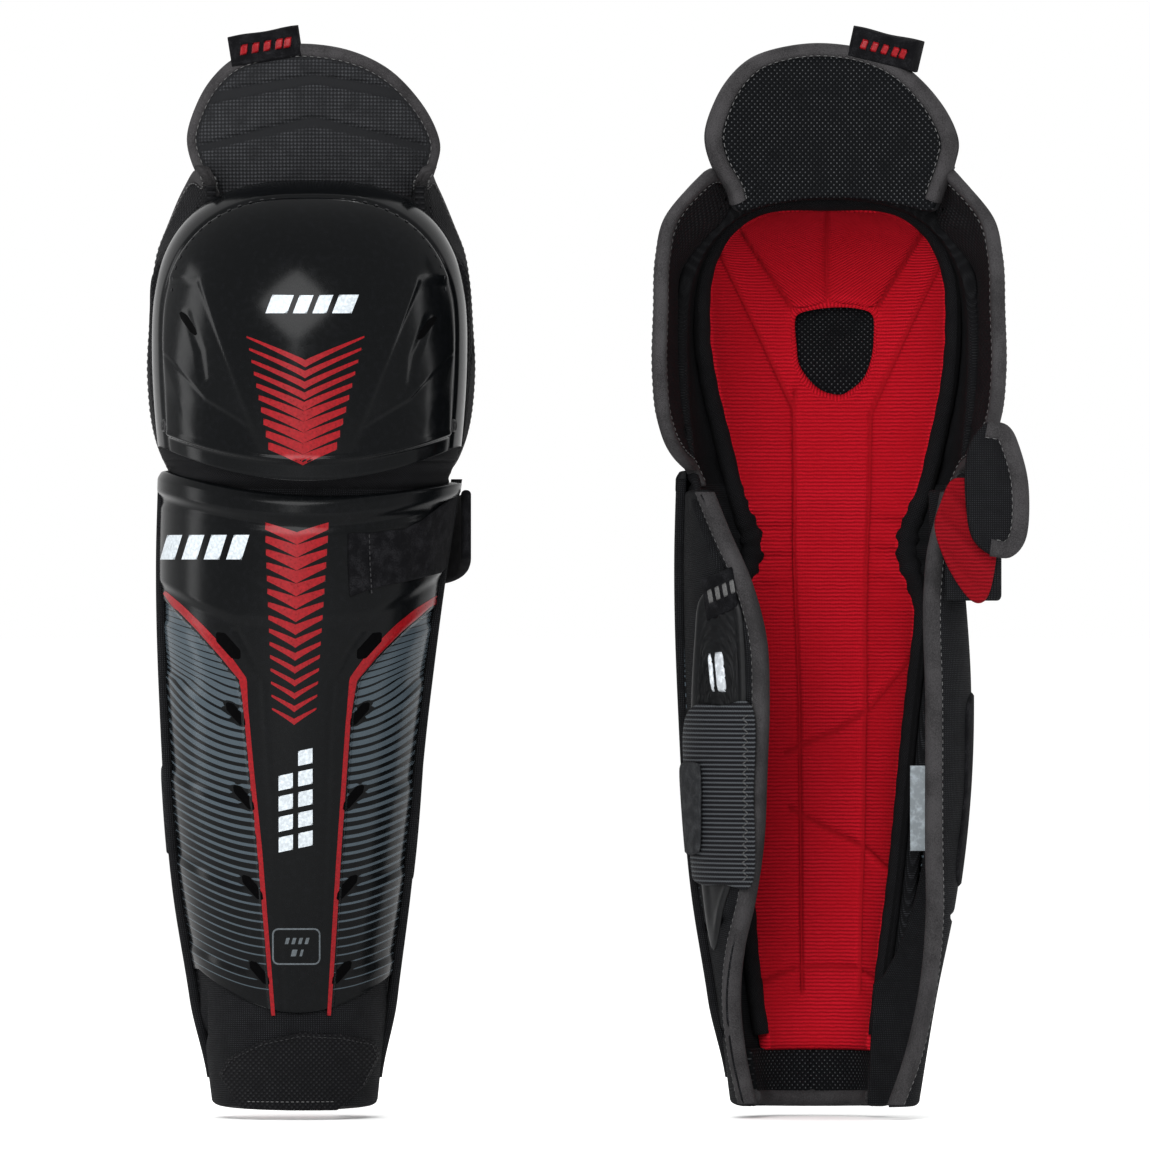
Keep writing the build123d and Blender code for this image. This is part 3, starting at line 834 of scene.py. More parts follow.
def chevron(cx, tip_z, half_width, arm_rise, tip_thick, end_thick, surface_point, lift):
    """Downward arrow print: two arms that thin out upwards and outwards."""
    s = np.linspace(-1, 1, 33)
    t = np.linspace(0, 1, 5)
    ss, tt = np.meshgrid(s, t)
    thick = tip_thick + (end_thick - tip_thick) * np.abs(ss) ** 0.9
    z = tip_z + arm_rise * np.abs(ss) ** 0.93 + thick * tt
    return decal(cx + half_width * ss, z, surface_point, lift)


def quad_print(corners, surface_point, count=8):
    """Straight-sided print between four front-view corners."""
    (a, b, c, d) = [np.array(p, float) for p in corners]
    s, t = np.meshgrid(np.linspace(0, 1, count), np.linspace(0, 1, count))
    s, t = s[..., None], t[..., None]
    grid = (a * (1 - s) + b * s) * (1 - t) + (d * (1 - s) + c * s) * t
    return decal(grid[..., 0], grid[..., 1], surface_point)


def slanted_bars(cx, cz, widths, height, gap, slant, surface_point):
    """Plain mark of slanted bars side by side."""
    parts, x = [], cx - (sum(widths) + gap * (len(widths) - 1)) / 2
    for width in widths:
        low, high = cz - height / 2, cz + height / 2
        parts.append(quad_print([(x, low), (x + width, low), (x + width + slant, high), (x + slant, high)],
                                surface_point))
        x += width + gap
    return parts


SPINE_CHEVRONS = 15
CAP_CHEVRONS = 10


def make_shell_red(side):
    """Red border lines and the row of chevrons down the shell's centre."""
    put = shell_surface_point
    red = [
        ribbon(SPINE_LEFT, [(0, 2.0), (0.05, 4.4), (0.18, 5.9), (0.25, 4.6), (0.32, 3.0), (1, 1.9)], put),
        ribbon(SPINE_RIGHT, [(0, 2.4), (0.06, 5.6), (0.2, 6.2), (0.27, 4.6), (0.34, 3.0), (1, 1.9)], put),
    ]
    for k in range(SPINE_CHEVRONS):
        share = k / (SPINE_CHEVRONS - 1)
        tip = 265.0 - 84.0 * share
        half = 14.6 - 4.4 * share
        red.append(chevron(-6.0 - 1.4 * share, tip, half, 7.2, 5.95 - 3.0 * ramp(share, 0.3, 0.8),
                           3.4 - 2.4 * share, put, 0.14))
    film("shell_red_print", side, red, "red", "shin")


def make_shell_white(side):
    """Row of slanted bars and two columns of squares on the shell."""
    put = shell_surface_point
    white = slanted_bars(-50.5, 264, [7.2, 7.2, 7.2, 7.2], 11.5, 3.2, 3.6, put)
    for left_x, low_z, count in ((-14.6, 121.5, 4), (-5.6, 123.5, 5)):
        for k in range(count):
            z = low_z + 9.6 * k
            white.append(quad_print([(left_x, z), (left_x + 6.6, z + 1.4), (left_x + 6.6, z + 8.4),
                                     (left_x, z + 7.0)], put))
    film("shell_white_print", side, white, "white", "shin")


def make_shell_vents(side):
    """Black film in the slanted vents beside the centre strip: painted shade of the openings."""
    put = shell_surface_point
    dark = []
    for height, length, width in VENTS:
        for sign, edge in ((-1, spine_left_x), (1, spine_right_x)):
            middle = edge(height) + sign * vent_gap(height)
            reach = length / 2
            line = [(middle - reach * math.cos(VENT_SLANT), height - sign * reach * math.sin(VENT_SLANT)),
                    (middle, height),
                    (middle + reach * math.cos(VENT_SLANT), height + sign * reach * math.sin(VENT_SLANT))]
            widths = [(0, 1.0), (0.16, 0.9 * width), (0.84, 0.9 * width), (1, 1.0)]
            dark.append(ribbon(line, widths, put, 0.7, 9, 0.22))
    # the vents' black fill: painted shade
    film("shell_vent_shade", side, dark, "opening_shade", "shin")


def make_shell_frame(side):
    """Grey rounded frame with small bars in it, low on the shell."""
    put = shell_surface_point
    cx, cz, half_x, half_z, corner = -6.6, 77.5, 10.8, 8.2, 2.6
    ring = []
    for qx, qz, start in ((1, 1, 0), (-1, 1, 90), (-1, -1, 180), (1, -1, 270)):
        for turn in range(start, start + 91, 15):
            a = math.radians(turn)
            ring.append((cx + qx * (half_x - corner) + corner * math.cos(a),
                         cz + qz * (half_z - corner) + corner * math.sin(a)))
    ring.append(ring[0])
    grey = [ribbon(ring, [(0, 0.8), (1, 0.8)], put, 0.8)]
    grey += slanted_bars(cx, cz + 2.6, [1.6, 1.6, 1.6, 1.6], 3.0, 1.4, 0.8, put)
    grey += slanted_bars(cx, cz - 3.0, [2.4, 1.2], 3.2, 1.6, 0.8, put)
    film("shell_grey_print", side, grey, "grey", "shin")


def make_shell_trim(side):
    """Soft rolled edges of the padding that stand just outside the shell's sides."""
    for edge, sign in (("lateral", -1), ("medial", 1)):
        z = np.linspace(15, 296, 130)
        angle = sign * np.radians(88.5 - 3.0 * bump(z, 150, 90))
        path = shin_point(angle, z, -0.2 + 3.4 * (1 - ramp(z, 14, 52)))
        out = unit(path - np.stack([SHIN_CX(z), SHIN_CY(z), z], axis=-1))
        back = np.tile([0.0, 1.0, 0.0], (len(z), 1))
        made = tape(path, back, out, 2.6, 3.2, 12, 2.2)
        lay(f"{edge}_shell_roll", side, made, "speckle", "shin")


def foam_inner_relief(x, z):
    """Puckers where the padding is gathered at the waist between shin and knee."""
    waist = bump(z, 262, 26) * ramp(np.abs(x), 30, 42)
    folds = np.sin(z * 0.62 + 0.05 * x) + 0.5 * np.sin(z * 1.31 + 1.2)
    return waist * (2.4 + 1.1 * folds)


def make_shin_padding(side):
    """Foam behind the shell, down to the soft ankle section, in speckled black nylon."""
    s, t = edged(90, 190, 3.5), edged(150, 294, 3.5)

    def shape(ss, tt):
        angle = np.radians(-89 + 178 * ss)
        z = 1.5 + 292.5 * tt
        return angle, z + 0 * ss

    def swell(x, z):
        low = 1 - ramp(z, 44, 60)
        slits = (seam(x, z, [(-49, 16), (-45.5, 36), (-46, 56)], 1.6)
                 + seam(x, z, [(36.5, 33), (36, 52), (35.5, 70)], 1.6))
        return low * (1.3 - 2.6 * slits)

    sheet = panel(s, t, shin_point, shape, 2.8, 9.8, 190, 294, 3.5, swell, foam_inner_relief)
    cushion("shin_padding", side, sheet, "speckle", "shin", ["shin_foam"])


ANKLE_PANEL = [(-44.5, 17), (-40, 25), (-24, 33), (-4, 37.5), (16, 36), (31, 32.5), (33.5, 26), (26.5, 12),
               (13, 0.5), (-12, 0.6), (-34, 1.5)]


def inside_distance(x, z, corners):
    """Distance inside a closed outline in the front view, negative outside."""
    ring = list(corners) + [corners[0]]
    distance = path_distance(x, z, ring)
    inside = np.zeros(np.shape(x), bool)
    for (x0, z0), (x1, z1) in zip(ring[:-1], ring[1:]):
        if z0 == z1:
            continue
        crosses = ((z0 > z) != (z1 > z)) & (x < (x1 - x0) * (z - z0) / (z1 - z0) + x0)
        inside ^= crosses
    return np.where(inside, distance, -distance)


def outline_grid(corners, count_s, count_t, centre=None):
    """Square grid bent to fill a rounded outline: rings of the outline around its centre."""
    loop = resample(np.array(list(corners) + [corners[0]], float), 0.5)
    middle = loop[:-1].mean(axis=0) if centre is None else np.array(centre, float)
    angles = np.arctan2(loop[:, 1] - middle[1], loop[:, 0] - middle[0])
    radii = np.hypot(loop[:, 1] - middle[1], loop[:, 0] - middle[0])
    order = np.argsort(angles)
    angles, radii = angles[order], radii[order]
    s, t = np.meshgrid(np.linspace(-1, 1, count_s), np.linspace(-1, 1, count_t))
    p, q = s * np.sqrt(1 - t * t / 2), t * np.sqrt(1 - s * s / 2)
    reach = np.hypot(p, q)
    turn = np.arctan2(q, p)
    limit = np.interp(turn, angles, radii, period=2 * math.pi)
    return middle[0] + reach * limit * np.cos(turn), middle[1] + reach * limit * np.sin(turn)


def patch(corners, surface_at, low, high, count_s=60, count_t=50, rim=1.2, relief=None, centre=None):
    """Closed patch with a rounded edge lying on a surface: surface_at(x, z, lift) in the front view."""
    x, z = outline_grid(corners, count_s, count_t, centre)
    inside = np.clip(inside_distance(x, z, corners) / rim, 0, 1)
    share = np.sqrt(1 - (1 - inside) ** 2)
    share[0, :] = share[-1, :] = share[:, 0] = share[:, -1] = 0
    top = (low + high) / 2 + share * (high - low) / 2 + (0 if relief is None else relief(x, z) * share)
    outer = surface_at(x, z, top)
    inner = surface_at(x, z, (low + high) / 2 - share * (high - low) / 2)
    return closed_slab(outer, inner, np.stack([x, z], axis=-1))


def make_ankle(side):
    """Textured panel sewn on the front of the ankle, the mesh pad behind it and its bottom binding."""
    def on_foam(x, z, lift):
        return shin_point(shin_angle(x, z), z, 1.4 - lift)

    made = patch(ANKLE_PANEL, on_foam, -0.6, 1.0, 80, 60, 1.6)
    lay("ankle_cover", side, made, "embossed_black", "shin", ["ankle_cover"])
    ring = resample(np.array(ANKLE_PANEL[:8], float), 0.8)
    inner_x = ring[:, 0] * 0.94 - 0.3
    inner_z = ring[:, 1] * 0.92 + 1.0
    path = on_foam(inner_x, inner_z, 1.1)
    sew("ankle_cover_stitches", side, path, shin_normal(inner_x, inner_z), (2.6, 1.7, 0.55), "dark_thread",
        "shin")
    x = np.linspace(-30, 12, 60)
    bottom = on_foam(x, 4.6 + 0 * x, 1.1)
    sew("ankle_hem_stitches", side, bottom, shin_normal(x, 4.6), (2.4, 1.6, 0.6), "thread",
        "shin")

    s, t = edged(70, 120, 2.5), edged(30, 27, 2.5)

    def shape(ss, tt):
        return np.radians(-86 + 172 * ss), 1.2 + 27 * tt + 0 * ss

    def bottom_fold(x, z):
        return 1.0 - 1.6 * bump(np.abs(x + 8), 0, 2.2) * (z < 40)

    sheet = panel(s, t, shin_point, shape, 10, 14, 120, 27, 2.5, None, bottom_fold)
    cushion("ankle_pad", side, sheet, "mesh", "shin", ["ankle_pad"])
    angle = np.radians(np.linspace(-89, 89, 110))
    low = 4.6 + 0.8 * np.sin(angle) ** 2
    path = shin_point(angle, low, 9.6)
    up = np.tile([0.0, 0.0, 1.0], (len(angle), 1))
    out = unit(np.stack([np.sin(angle), -np.cos(angle), 0 * angle], axis=-1))
    bind("ankle_hem", side, path, up, out, (6.8, 4.2, 18), "shin")


# ---------------------------------------------------------------- knee cap
KNEE_REACH = math.radians(93.5)


def knee_skin(angle, z, inset):
    """Point on the knee section's outer face moved inwards, also near its top."""
    up = np.clip((z - KNEE_Z) / KNEE_RADII[2], 0, 1)
    lateral = np.sqrt(np.clip(1 - up * up, 0, 1))
    half_x, half_y = knee_radii(np.minimum(z, KNEE_Z), inset)
    side = lateral * np.sin(angle)
    corner = 1 + 0.36 * (side * up) ** 2 / np.maximum(side * side + up * up, 1e-6)
    x = KNEE_X + half_x * side * corner
    y = KNEE_Y - half_y * lateral * np.cos(angle)
    return np.stack([x, y, np.where(up > 0, KNEE_Z + (z - inset * up - KNEE_Z) * corner, z)], axis=-1)


def dome_angle(x, z, up, inset):
    """Angle of the knee section's point seen at x, up being its share of the dome's height."""
    half = knee_radii(np.minimum(z, KNEE_Z), inset)[0] * np.sqrt(1 - up * up)
    return np.arcsin(np.clip((x - KNEE_X) / np.maximum(half, 1e-6), -1, 1))


def arch_shape(low):
    """Grid over the knee section: columns of equal angle below, a bent square over the dome."""
    def shape(ss, tt):
        s, t = 2 * ss - 1, 2 * tt - 1
        angle = s * KNEE_REACH
        x = KNEE_X + KNEE_RADII[0] * np.sin(angle)
        bottom = low(x)
        z_low = KNEE_Z + (KNEE_Z - bottom) * np.minimum(t, 0)
        up = np.maximum(t, 0)
        p, q = s * np.sqrt(1 - up * up / 2), up * np.sqrt(1 - s * s / 2)
        spread = np.maximum(np.hypot(p, q), 1e-6)
        turn = spread * KNEE_REACH
        nx, ny, nz = np.sin(turn) * p / spread, np.cos(turn), np.sin(turn) * q / spread
        dome = t > 0
        return (np.where(dome, np.arctan2(nx, ny), angle),
                np.where(dome, KNEE_Z + KNEE_RADII[2] * nz, z_low))

    return shape


def cap_low(x):
    """Bottom edge of the knee cap in the front view."""
    return 294.8 + 16.5 * np.clip(np.abs(x - KNEE_X) / 74, 0, 1) ** 2


CREASE_LEFT = line_curve([(300, -21), (315, -25), (328, -29.7), (387, -51), (440, -56)])
CREASE_RIGHT = line_curve([(300, 16.5), (315, 21.7), (328, 26.8), (387, 49.6), (440, 54)])
FACET_LINE = line_curve([(-76, 362), (-66.5, 353.4), (-48.9, 333), (-28, 320.5), (0, 316), (25, 320),
                         (46.6, 333), (64.3, 353.4), (76, 362)])
CAP_SLOTS = (((-61.3, 373.9), (-54.4, 363.2)), ((59.1, 371.8), (51.6, 361.0)))
RIM_TOP, RIM_SIDE = 9.4, 6.4


def cap_edge_distance(x, z):
    """Distance inside the cap's outline in the front view."""
    dx = x - KNEE_X
    up = np.clip(z - KNEE_Z, 0, None)
    power = 2.66
    reach = (np.abs(dx / KNEE_RADII[0]) ** power + (up / KNEE_RADII[2]) ** power) ** (1 / power)
    ring = (1 - reach) * 77
    half = knee_radii(np.minimum(z, KNEE_Z), 0)[0]
    return np.where(z > KNEE_Z, ring, half - np.abs(dx))


def rim_width(z):
    """Width of the cap's flat rim, wider over the top."""
    return RIM_SIDE + (RIM_TOP - RIM_SIDE) * ramp(z, 375, 425)


def cap_relief(x, z):
    """Rim, groove, raised centre, side lobes, facets, pockets and lower band of the knee cap."""
    edge = cap_edge_distance(x, z)
    rim = rim_width(z)
    inside = ramp(edge, rim - 0.4, rim + 2.8)
    relief = -1.9 + 1.9 * inside
    relief -= 0.9 * bump(edge, rim + 0.1, 1.5)
    relief -= 0.7 * (1 - ramp(edge, 0.0, 1.6))
    left = CREASE_LEFT(z) - x
    right = x - CREASE_RIGHT(z)
    away = np.maximum(left, right)
    lobe = np.clip(away, 0, 30)
    below_top = ramp(389.5 - z, -1.0, 3.0)
    above_band = ramp(z - cap_low(x), 8, 30)
    relief -= inside * below_top * above_band * (0.45 * ramp(away, -0.8, 1.4)
                                                 + 1.1 * np.sin(np.clip(lobe / 30, 0, 1) * math.pi))
    facet = FACET_LINE(x) - z
    side_only = ramp(away, -1, 5)
    relief -= inside * side_only * above_band * (0.3 * ramp(facet, -0.8, 1.4) + 0.9 * ramp(facet, 0, 22))
    for ends, turn in zip(CAP_SLOTS, (1, -1)):
        (x0, z0), (x1, z1) = ends
        pocket = [(x0 + turn * 3.5, z0 - 1), (x1 + turn * 3.0, z1 - 8), (x1 + turn * 4.5, z1 - 20)]
        relief -= 0.35 * seam(x, z, pocket, 3.2) * inside
    band = z - cap_low(x)
    relief -= 1.3 * (1 - ramp(band, 7.2, 9.6)) * inside
    relief += 0.55 * bump(band, 9.6, 2.0) * inside
    relief -= 0.5 * (1 - ramp(band, 0, 1.5))
    return relief


def cap_surface_point(x, z, lift):
    """Point just above the finished knee cap seen at (x, z) from the front."""
    up = np.clip((z - KNEE_Z) / KNEE_RADII[2], 0, 1)
    return knee_skin(dome_angle(x, z, up, 0), z, -cap_relief(x, z) - lift)


def make_knee_cap(side):
    """Domed knee cap with its rim and creases."""
    s, t = edged(230, 245, 1.0), edged(240, 200, 1.0)
    outer, inner, middle = panel(s, t, knee_skin, arch_shape(cap_low), 0.0, 2.8, 245, 200, 1.0, cap_relief)
    lay("knee_cap", side, closed_slab(outer, inner, arc_flat(middle)), "cap", "knee",
        ["knee_cap"])


def make_cap_details(side):
    """Chevrons, plain mark, painted shade in the strap slots, rim thread and eyelets of the knee cap."""
    put = cap_surface_point
    red = []
    for k in range(CAP_CHEVRONS):
        share = k / (CAP_CHEVRONS - 1)
        tip = 347.6 - 45.6 * share
        end = 361.4 - 52.0 * share
        half = 27.4 - 11.4 * share
        red.append(chevron(-1.9 - 1.3 * share, tip, half, end - tip, 3.5 + 1.56 * ramp(share, 0.3, 0.6),
                           1.0 + 2.6 * share, put, 0.14))
    film("cap_red_print", side, red, "red", "knee")
    white = slanted_bars(-0.5, 377, [10, 6.5, 6.5, 9], 8.5, 2.6, 3.2, put)
    film("cap_white_print", side, white, "white", "knee")
    # black film in the strap slots: painted shade of the openings
    dark = []
    for ends in CAP_SLOTS:
        line = resample(np.array(ends), 0.7)
        dark.append(ribbon(line, [(0, 1.2), (0.2, 3.0), (0.8, 3.0), (1, 1.2)], put, 0.7, 7, 0.22))
    film("cap_slot_shade", side, dark, "opening_shade", "knee")

    turn = np.radians(np.linspace(20, 160, 200))
    ring_x = KNEE_X + (KNEE_RADII[0] - RIM_TOP + 1.2) * np.cos(turn)
    ring_z = KNEE_Z + (KNEE_RADII[2] - RIM_TOP - 0.4) * np.sin(turn)
    path = put(ring_x, ring_z, 0.1)
    normal = unit(path - np.array([KNEE_X, KNEE_Y, KNEE_Z]))
    sew("cap_stitches", side, path, normal, (5.4, 1.9, 0.9), "dark_thread", "knee")
    parts = []
    for sign in (-1, 1):
        x = np.array([KNEE_X + sign * 69.3])
        centre = put(x, np.array([321.0]), 0.2)[0]
        facing = np.array([(centre[0] - KNEE_X) / KNEE_RADII[0] ** 2,
                           (centre[1] - KNEE_Y) / KNEE_RADII[1] ** 2, 0.0])
        parts.append(eyelet(centre, facing, 3.0, 0.9))
    film("knee_eyelets", side, parts, "eyelet", "knee", None, ["knee_rivets"])


def eyelet(centre, axis, radius, tube):
    """Round eyelet with a sunk middle."""
    axis = axis / np.linalg.norm(axis)
    u = unit(np.cross(axis, [0, 0, 1.0]))
    v = np.cross(axis, u)
    profile = [(0.0, -0.4), (0.55, -0.4), (0.62, 0.25), (0.8, 0.9), (1.0, 0.4), (1.05, -0.6), (1.0, -2.5),
               (0.0, -2.5)]
    ring = 20
    points = []
    for share, height in profile:
        for k in range(ring):
            a = 2 * math.pi * k / ring
            points.append(centre + radius * max(share, 0.01) * (u * math.cos(a) + v * math.sin(a))
                          + axis * height * tube)
    points = np.array(points)
    return points, oriented(points, ring_faces(len(profile), ring)), None


KNEE_BLEND = ("knee", (0, -40, 284), (0, -40, 312))


def make_knee_neck(side):
    """Black fabric between the shin's padding and the knee's, with soft folds."""
    s, t = edged(100, 200, 2.5), edged(44, 40, 2.5)

    def surface(angle, z, inset):
        share = ramp(z, 284, 306)[..., None]
        shin = shin_point(angle, np.minimum(z, 300), inset)
        shin[..., 2] = z
        return shin * (1 - share) + knee_skin(angle, z, inset + 0.8) * share

    def shape(ss, tt):
        angle = np.radians(-97 + 194 * ss)
        lift = 9.0 * np.sin(angle) ** 2
        return angle, 268 + lift + (46 - 2 * lift / 9) * tt

    def folds(x, z):
        return 0.7 * np.sin(z * 0.75 + 0.02 * x) - 0.3

    sheet = panel(s, t, surface, shape, 4.2, 9.4, 200, 46, 2.5, folds)
    cushion("knee_neck", side, sheet, "nylon", "shin", blend=KNEE_BLEND)


def make_knee_padding(side):
    """Foam of the knee bowl behind the cap and the mesh pad in its middle."""
    s, t = edged(90, 220, 3.5), edged(90, 190, 3.5)
    sheet = panel(s, t, knee_skin, arch_shape(lambda x: 304 + 0 * x), 3.2, 10.3, 220, 190, 3.5)
    cushion("knee_padding", side, sheet, "nylon", "knee", ["knee_foam"])
    hole = [(-15, 382), (0, 384), (20, 382), (28, 366), (21, 332), (3, 326), (-14, 331), (-22, 366)]

    def on_foam(x, z, lift):
        up = np.clip((z - KNEE_Z) / KNEE_RADII[2], 0, 1)
        return knee_skin(dome_angle(x, z, up, 12.5), z, 12.4 + lift)

    def swell(x, z):
        return 1.2 * bump(np.hypot(x - 3, z - 356), 0, 26)

    made = patch(hole, on_foam, -1.9, 1.6, 50, 50, 3.0, swell)
    lay("knee_mesh_pad", side, made, "mesh", "knee", ["knee_mesh_pad"])


# ---------------------------------------------------------------- red liner
LINER_LEFT = smooth_curve([(26, -31), (60, -36), (100, -39), (193, -46), (225, -47), (243, -43), (256, -37),
                           (266, -36), (280, -41), (292, -45), (316, -51), (340, -57), (360, -60.5)])
LINER_RIGHT = smooth_curve([(26, 27), (60, 31), (100, 36), (193, 44), (225, 45), (243, 43), (256, 38),
                            (266, 37), (280, 41), (292, 46), (316, 52), (340, 57), (360, 59)])
KNEE_HOLE = [(-15, 376.7), (-6, 379.5), (4, 380.5), (14, 379.5), (21.2, 376.7), (23.3, 370.3), (23, 356),
             (18.5, 343.2), (10.3, 336), (4, 334.2), (-5.9, 337.8), (-15, 348.6), (-17.1, 361.3),
             (-17.3, 372.1)]
LINER_SEAMS = [
    [(-43, 415), (-17, 377)], [(-53, 403), (-35, 367), (-17, 329)],
    [(46.5, 415.5), (23, 377)], [(55.5, 401), (39, 367), (21, 327)],
    [(-16, 338), (-17, 329), (-17, 260), (-14, 190), (-13, 55)],
    [(21, 327), (18.5, 228), (19, 190), (16, 55)],
    [(-1, 428), (-1, 402), (0, 381)],
    [(-21, 167), (4, 177), (21, 188), (40, 211)], [(-19, 141), (2, 130), (19, 122), (35, 108)],
    [(-37, 58), (-14, 66), (14, 66), (30, 58)],
]
LINER_INSET = 13.0


def liner_surface(angle, z, inset):
    """The liner's sheet: the shin's curve below, the knee bowl's above, joined at the waist."""
    shin = shin_point(angle, np.minimum(z, 300), inset)
    shin[..., 2] = z
    knee = knee_skin(angle, z, inset + 0.5)
    up = np.clip((z - KNEE_Z) / KNEE_RADII[2], 0, 1)
    corner = 1 + 0.07 * (2 * up * np.sin(angle) * np.sqrt(1 - up * up)) ** 2
    knee[..., 0] = KNEE_X + (knee[..., 0] - KNEE_X) * corner
    knee[..., 2] = np.where(z > KNEE_Z, KNEE_Z + (knee[..., 2] - KNEE_Z) * corner, knee[..., 2])
    knee[..., 2] += 3.6 * ramp(up, 0.5, 0.95)
    share = ramp(z, 286, 312)[..., None]
    return shin * (1 - share) + knee * share


def liner_angles(z):
    """Angles of the liner's two edges at a height below the dome's middle."""
    low = np.minimum(z, 300)
    shin_half = SHIN_A(low) - LINER_INSET
    knee_half = knee_radii(np.minimum(z, KNEE_Z), LINER_INSET + 0.5)[0]
    share = ramp(z, 286, 312)
    half = shin_half * (1 - share) + knee_half * share
    middle = SHIN_CX(low) * (1 - share) + KNEE_X * share
    left = np.arcsin(np.clip((LINER_LEFT(z) - middle) / half, -0.995, 0.995))
    right = np.arcsin(np.clip((LINER_RIGHT(z) - middle) / half, -0.995, 0.995))
    return left, right


LINER_BOTTOM, LINER_SPLIT = 27.0, 0.7
LINER_TOP_REACH = math.radians(80)


def liner_shape(ss, tt):
    """Grid over the whole liner: straight rows up to the middle of the knee, then over the dome."""
    s = 2 * ss - 1
    z_low = LINER_BOTTOM + (KNEE_Z - LINER_BOTTOM) * np.minimum(tt / LINER_SPLIT, 1)
    left, right = liner_angles(z_low)
    low_angle = np.where(s < 0, -s * left, s * right)
    left_top, right_top = liner_angles(np.array(KNEE_Z))
    up = np.clip((tt - LINER_SPLIT) / (1 - LINER_SPLIT), 0, 1)
    p, q = s * np.sqrt(1 - up * up / 2), up * np.sqrt(1 - s * s / 2)
    spread = np.maximum(np.hypot(p, q), 1e-6)
    side_reach = np.where(s < 0, -left_top, right_top)
    blend = (q / spread) ** 2
    turn = spread * (side_reach * (1 - blend) + LINER_TOP_REACH * blend)
    nx, ny, nz = np.sin(turn) * p / spread, np.cos(turn), np.sin(turn) * q / spread
    dome = up > 0
    return (np.where(dome, np.arctan2(nx, ny), low_angle), np.where(dome, KNEE_Z + KNEE_RADII[2] * nz, z_low))


def liner_face(x, z, lift):
    """Point above the liner's visible face in the knee bowl, seen at (x, z)."""
    up = np.clip((z - KNEE_Z) / (KNEE_RADII[2] - 16), 0, 1)
    outer_z = np.where(z > KNEE_Z, KNEE_Z + up * KNEE_RADII[2], z)
    return liner_surface(dome_angle(x, z, up, 16.5), outer_z, 16.0 + lift)


def liner_relief(x, z):
    """Sewn grooves, padded swells between them, the knee opening and folds of the visible red face."""
    depth = np.zeros(np.shape(x))
    nearest = np.full(np.shape(x), 60.0)
    for line in LINER_SEAMS:
        nearest = np.minimum(nearest, path_distance(x, z, line))
    depth += 1.5 * (1 - np.exp(-nearest / 5.0)) - 1.5 * (1 - ramp(nearest, 0.2, 1.5))
    hole = inside_distance(x, z, KNEE_HOLE)
    depth += 0.9 * bump(hole, -2.2, 2.6)
    depth -= 6.6 * ramp(hole, -0.6, 1.2)
    waist = bump(z, 266, 42) * ramp(np.abs(x - 2), 8, 34)
    depth += waist * (0.9 * np.sin(z * 0.42 + x * 0.09) + 0.5 * np.sin(z * 0.93 - x * 0.05 + 1.0))
    depth += 0.5 * np.sin(z * 0.055 + 0.8) * np.sin(x * 0.09 + z * 0.02)
    low_fold = bump(z, 92, 26) * ramp(-x, 6, 30)
    depth += 0.8 * low_fold * np.sin(z * 0.34)
    return depth


KNIT_BEND_RADIUS = 66.0
RIB_SLOPE = 0.75
RIB_TURN_Z = 379.0


def make_liner(side):
    """One red knit liner from the ankle to the top of the knee; its ribs slant above the opening."""
    s, t = edged(120, 110, 2.5), edged(330, 420, 2.5)
    outer, inner, middle = panel(s, t, liner_surface, liner_shape, 10.2, 16.2, 110, 420, 2.5,
                                 None, liner_relief)
    x, z = middle[..., 0], middle[..., 2]
    up = np.clip((z - KNEE_Z) / KNIT_BEND_RADIUS, 0, 1)
    height = np.where(z > KNEE_Z, KNEE_Z + KNIT_BEND_RADIUS * np.arcsin(up), z)
    in_left = (x < -0.5) & (z > RIB_TURN_Z) & (x > -17 - (z - 377) * 0.684)
    in_right = (x >= -0.5) & (z > RIB_TURN_Z) & (x < 23 + (z - 377) * 0.61)
    slope = np.where(in_left, RIB_SLOPE, 0.0) + np.where(in_right, -RIB_SLOPE, 0.0)
    v = height + slope * x
    sewn = np.zeros(x.shape)
    for line in LINER_SEAMS:
        sewn = np.maximum(sewn, 1 - ramp(path_distance(x, z, line), 0.5, 1.6))
    flat = np.stack([x, v, sewn], axis=-1)
    piece = lay("liner", side, closed_slab(outer, inner, flat), "knit", "shin",
                ["shin_liner", "knee_liner"], KNEE_BLEND)


def make_liner_opening(side):
    """Knit rim round the liner's opening over the knee."""
    hole = rounded(KNEE_HOLE, step=1.2)
    rim_path = liner_face(hole[:, 0], hole[:, 1], 0.6)
    outward2 = unit(hole - hole.mean(axis=0))
    rim_across = unit(np.stack([outward2[:, 0], 0 * hole[:, 0], outward2[:, 1]], axis=-1))
    rim_normal = unit(np.stack([-rim_path[:, 0] * 0.4, 60 + 0 * rim_path[:, 0], 300 - rim_path[:, 2]],
                               axis=-1))
    made = tape(rim_path, rim_normal, rim_across, 2.0, 1.9, 12, 2.2, closed=True)
    lay("liner_opening", side, made, "knit", "knee")


LINER_ROLL_SIZE = (4.7, 3.9)
LINER_ROLL_STEP = 2.2
LINER_ROLL_RING = 16


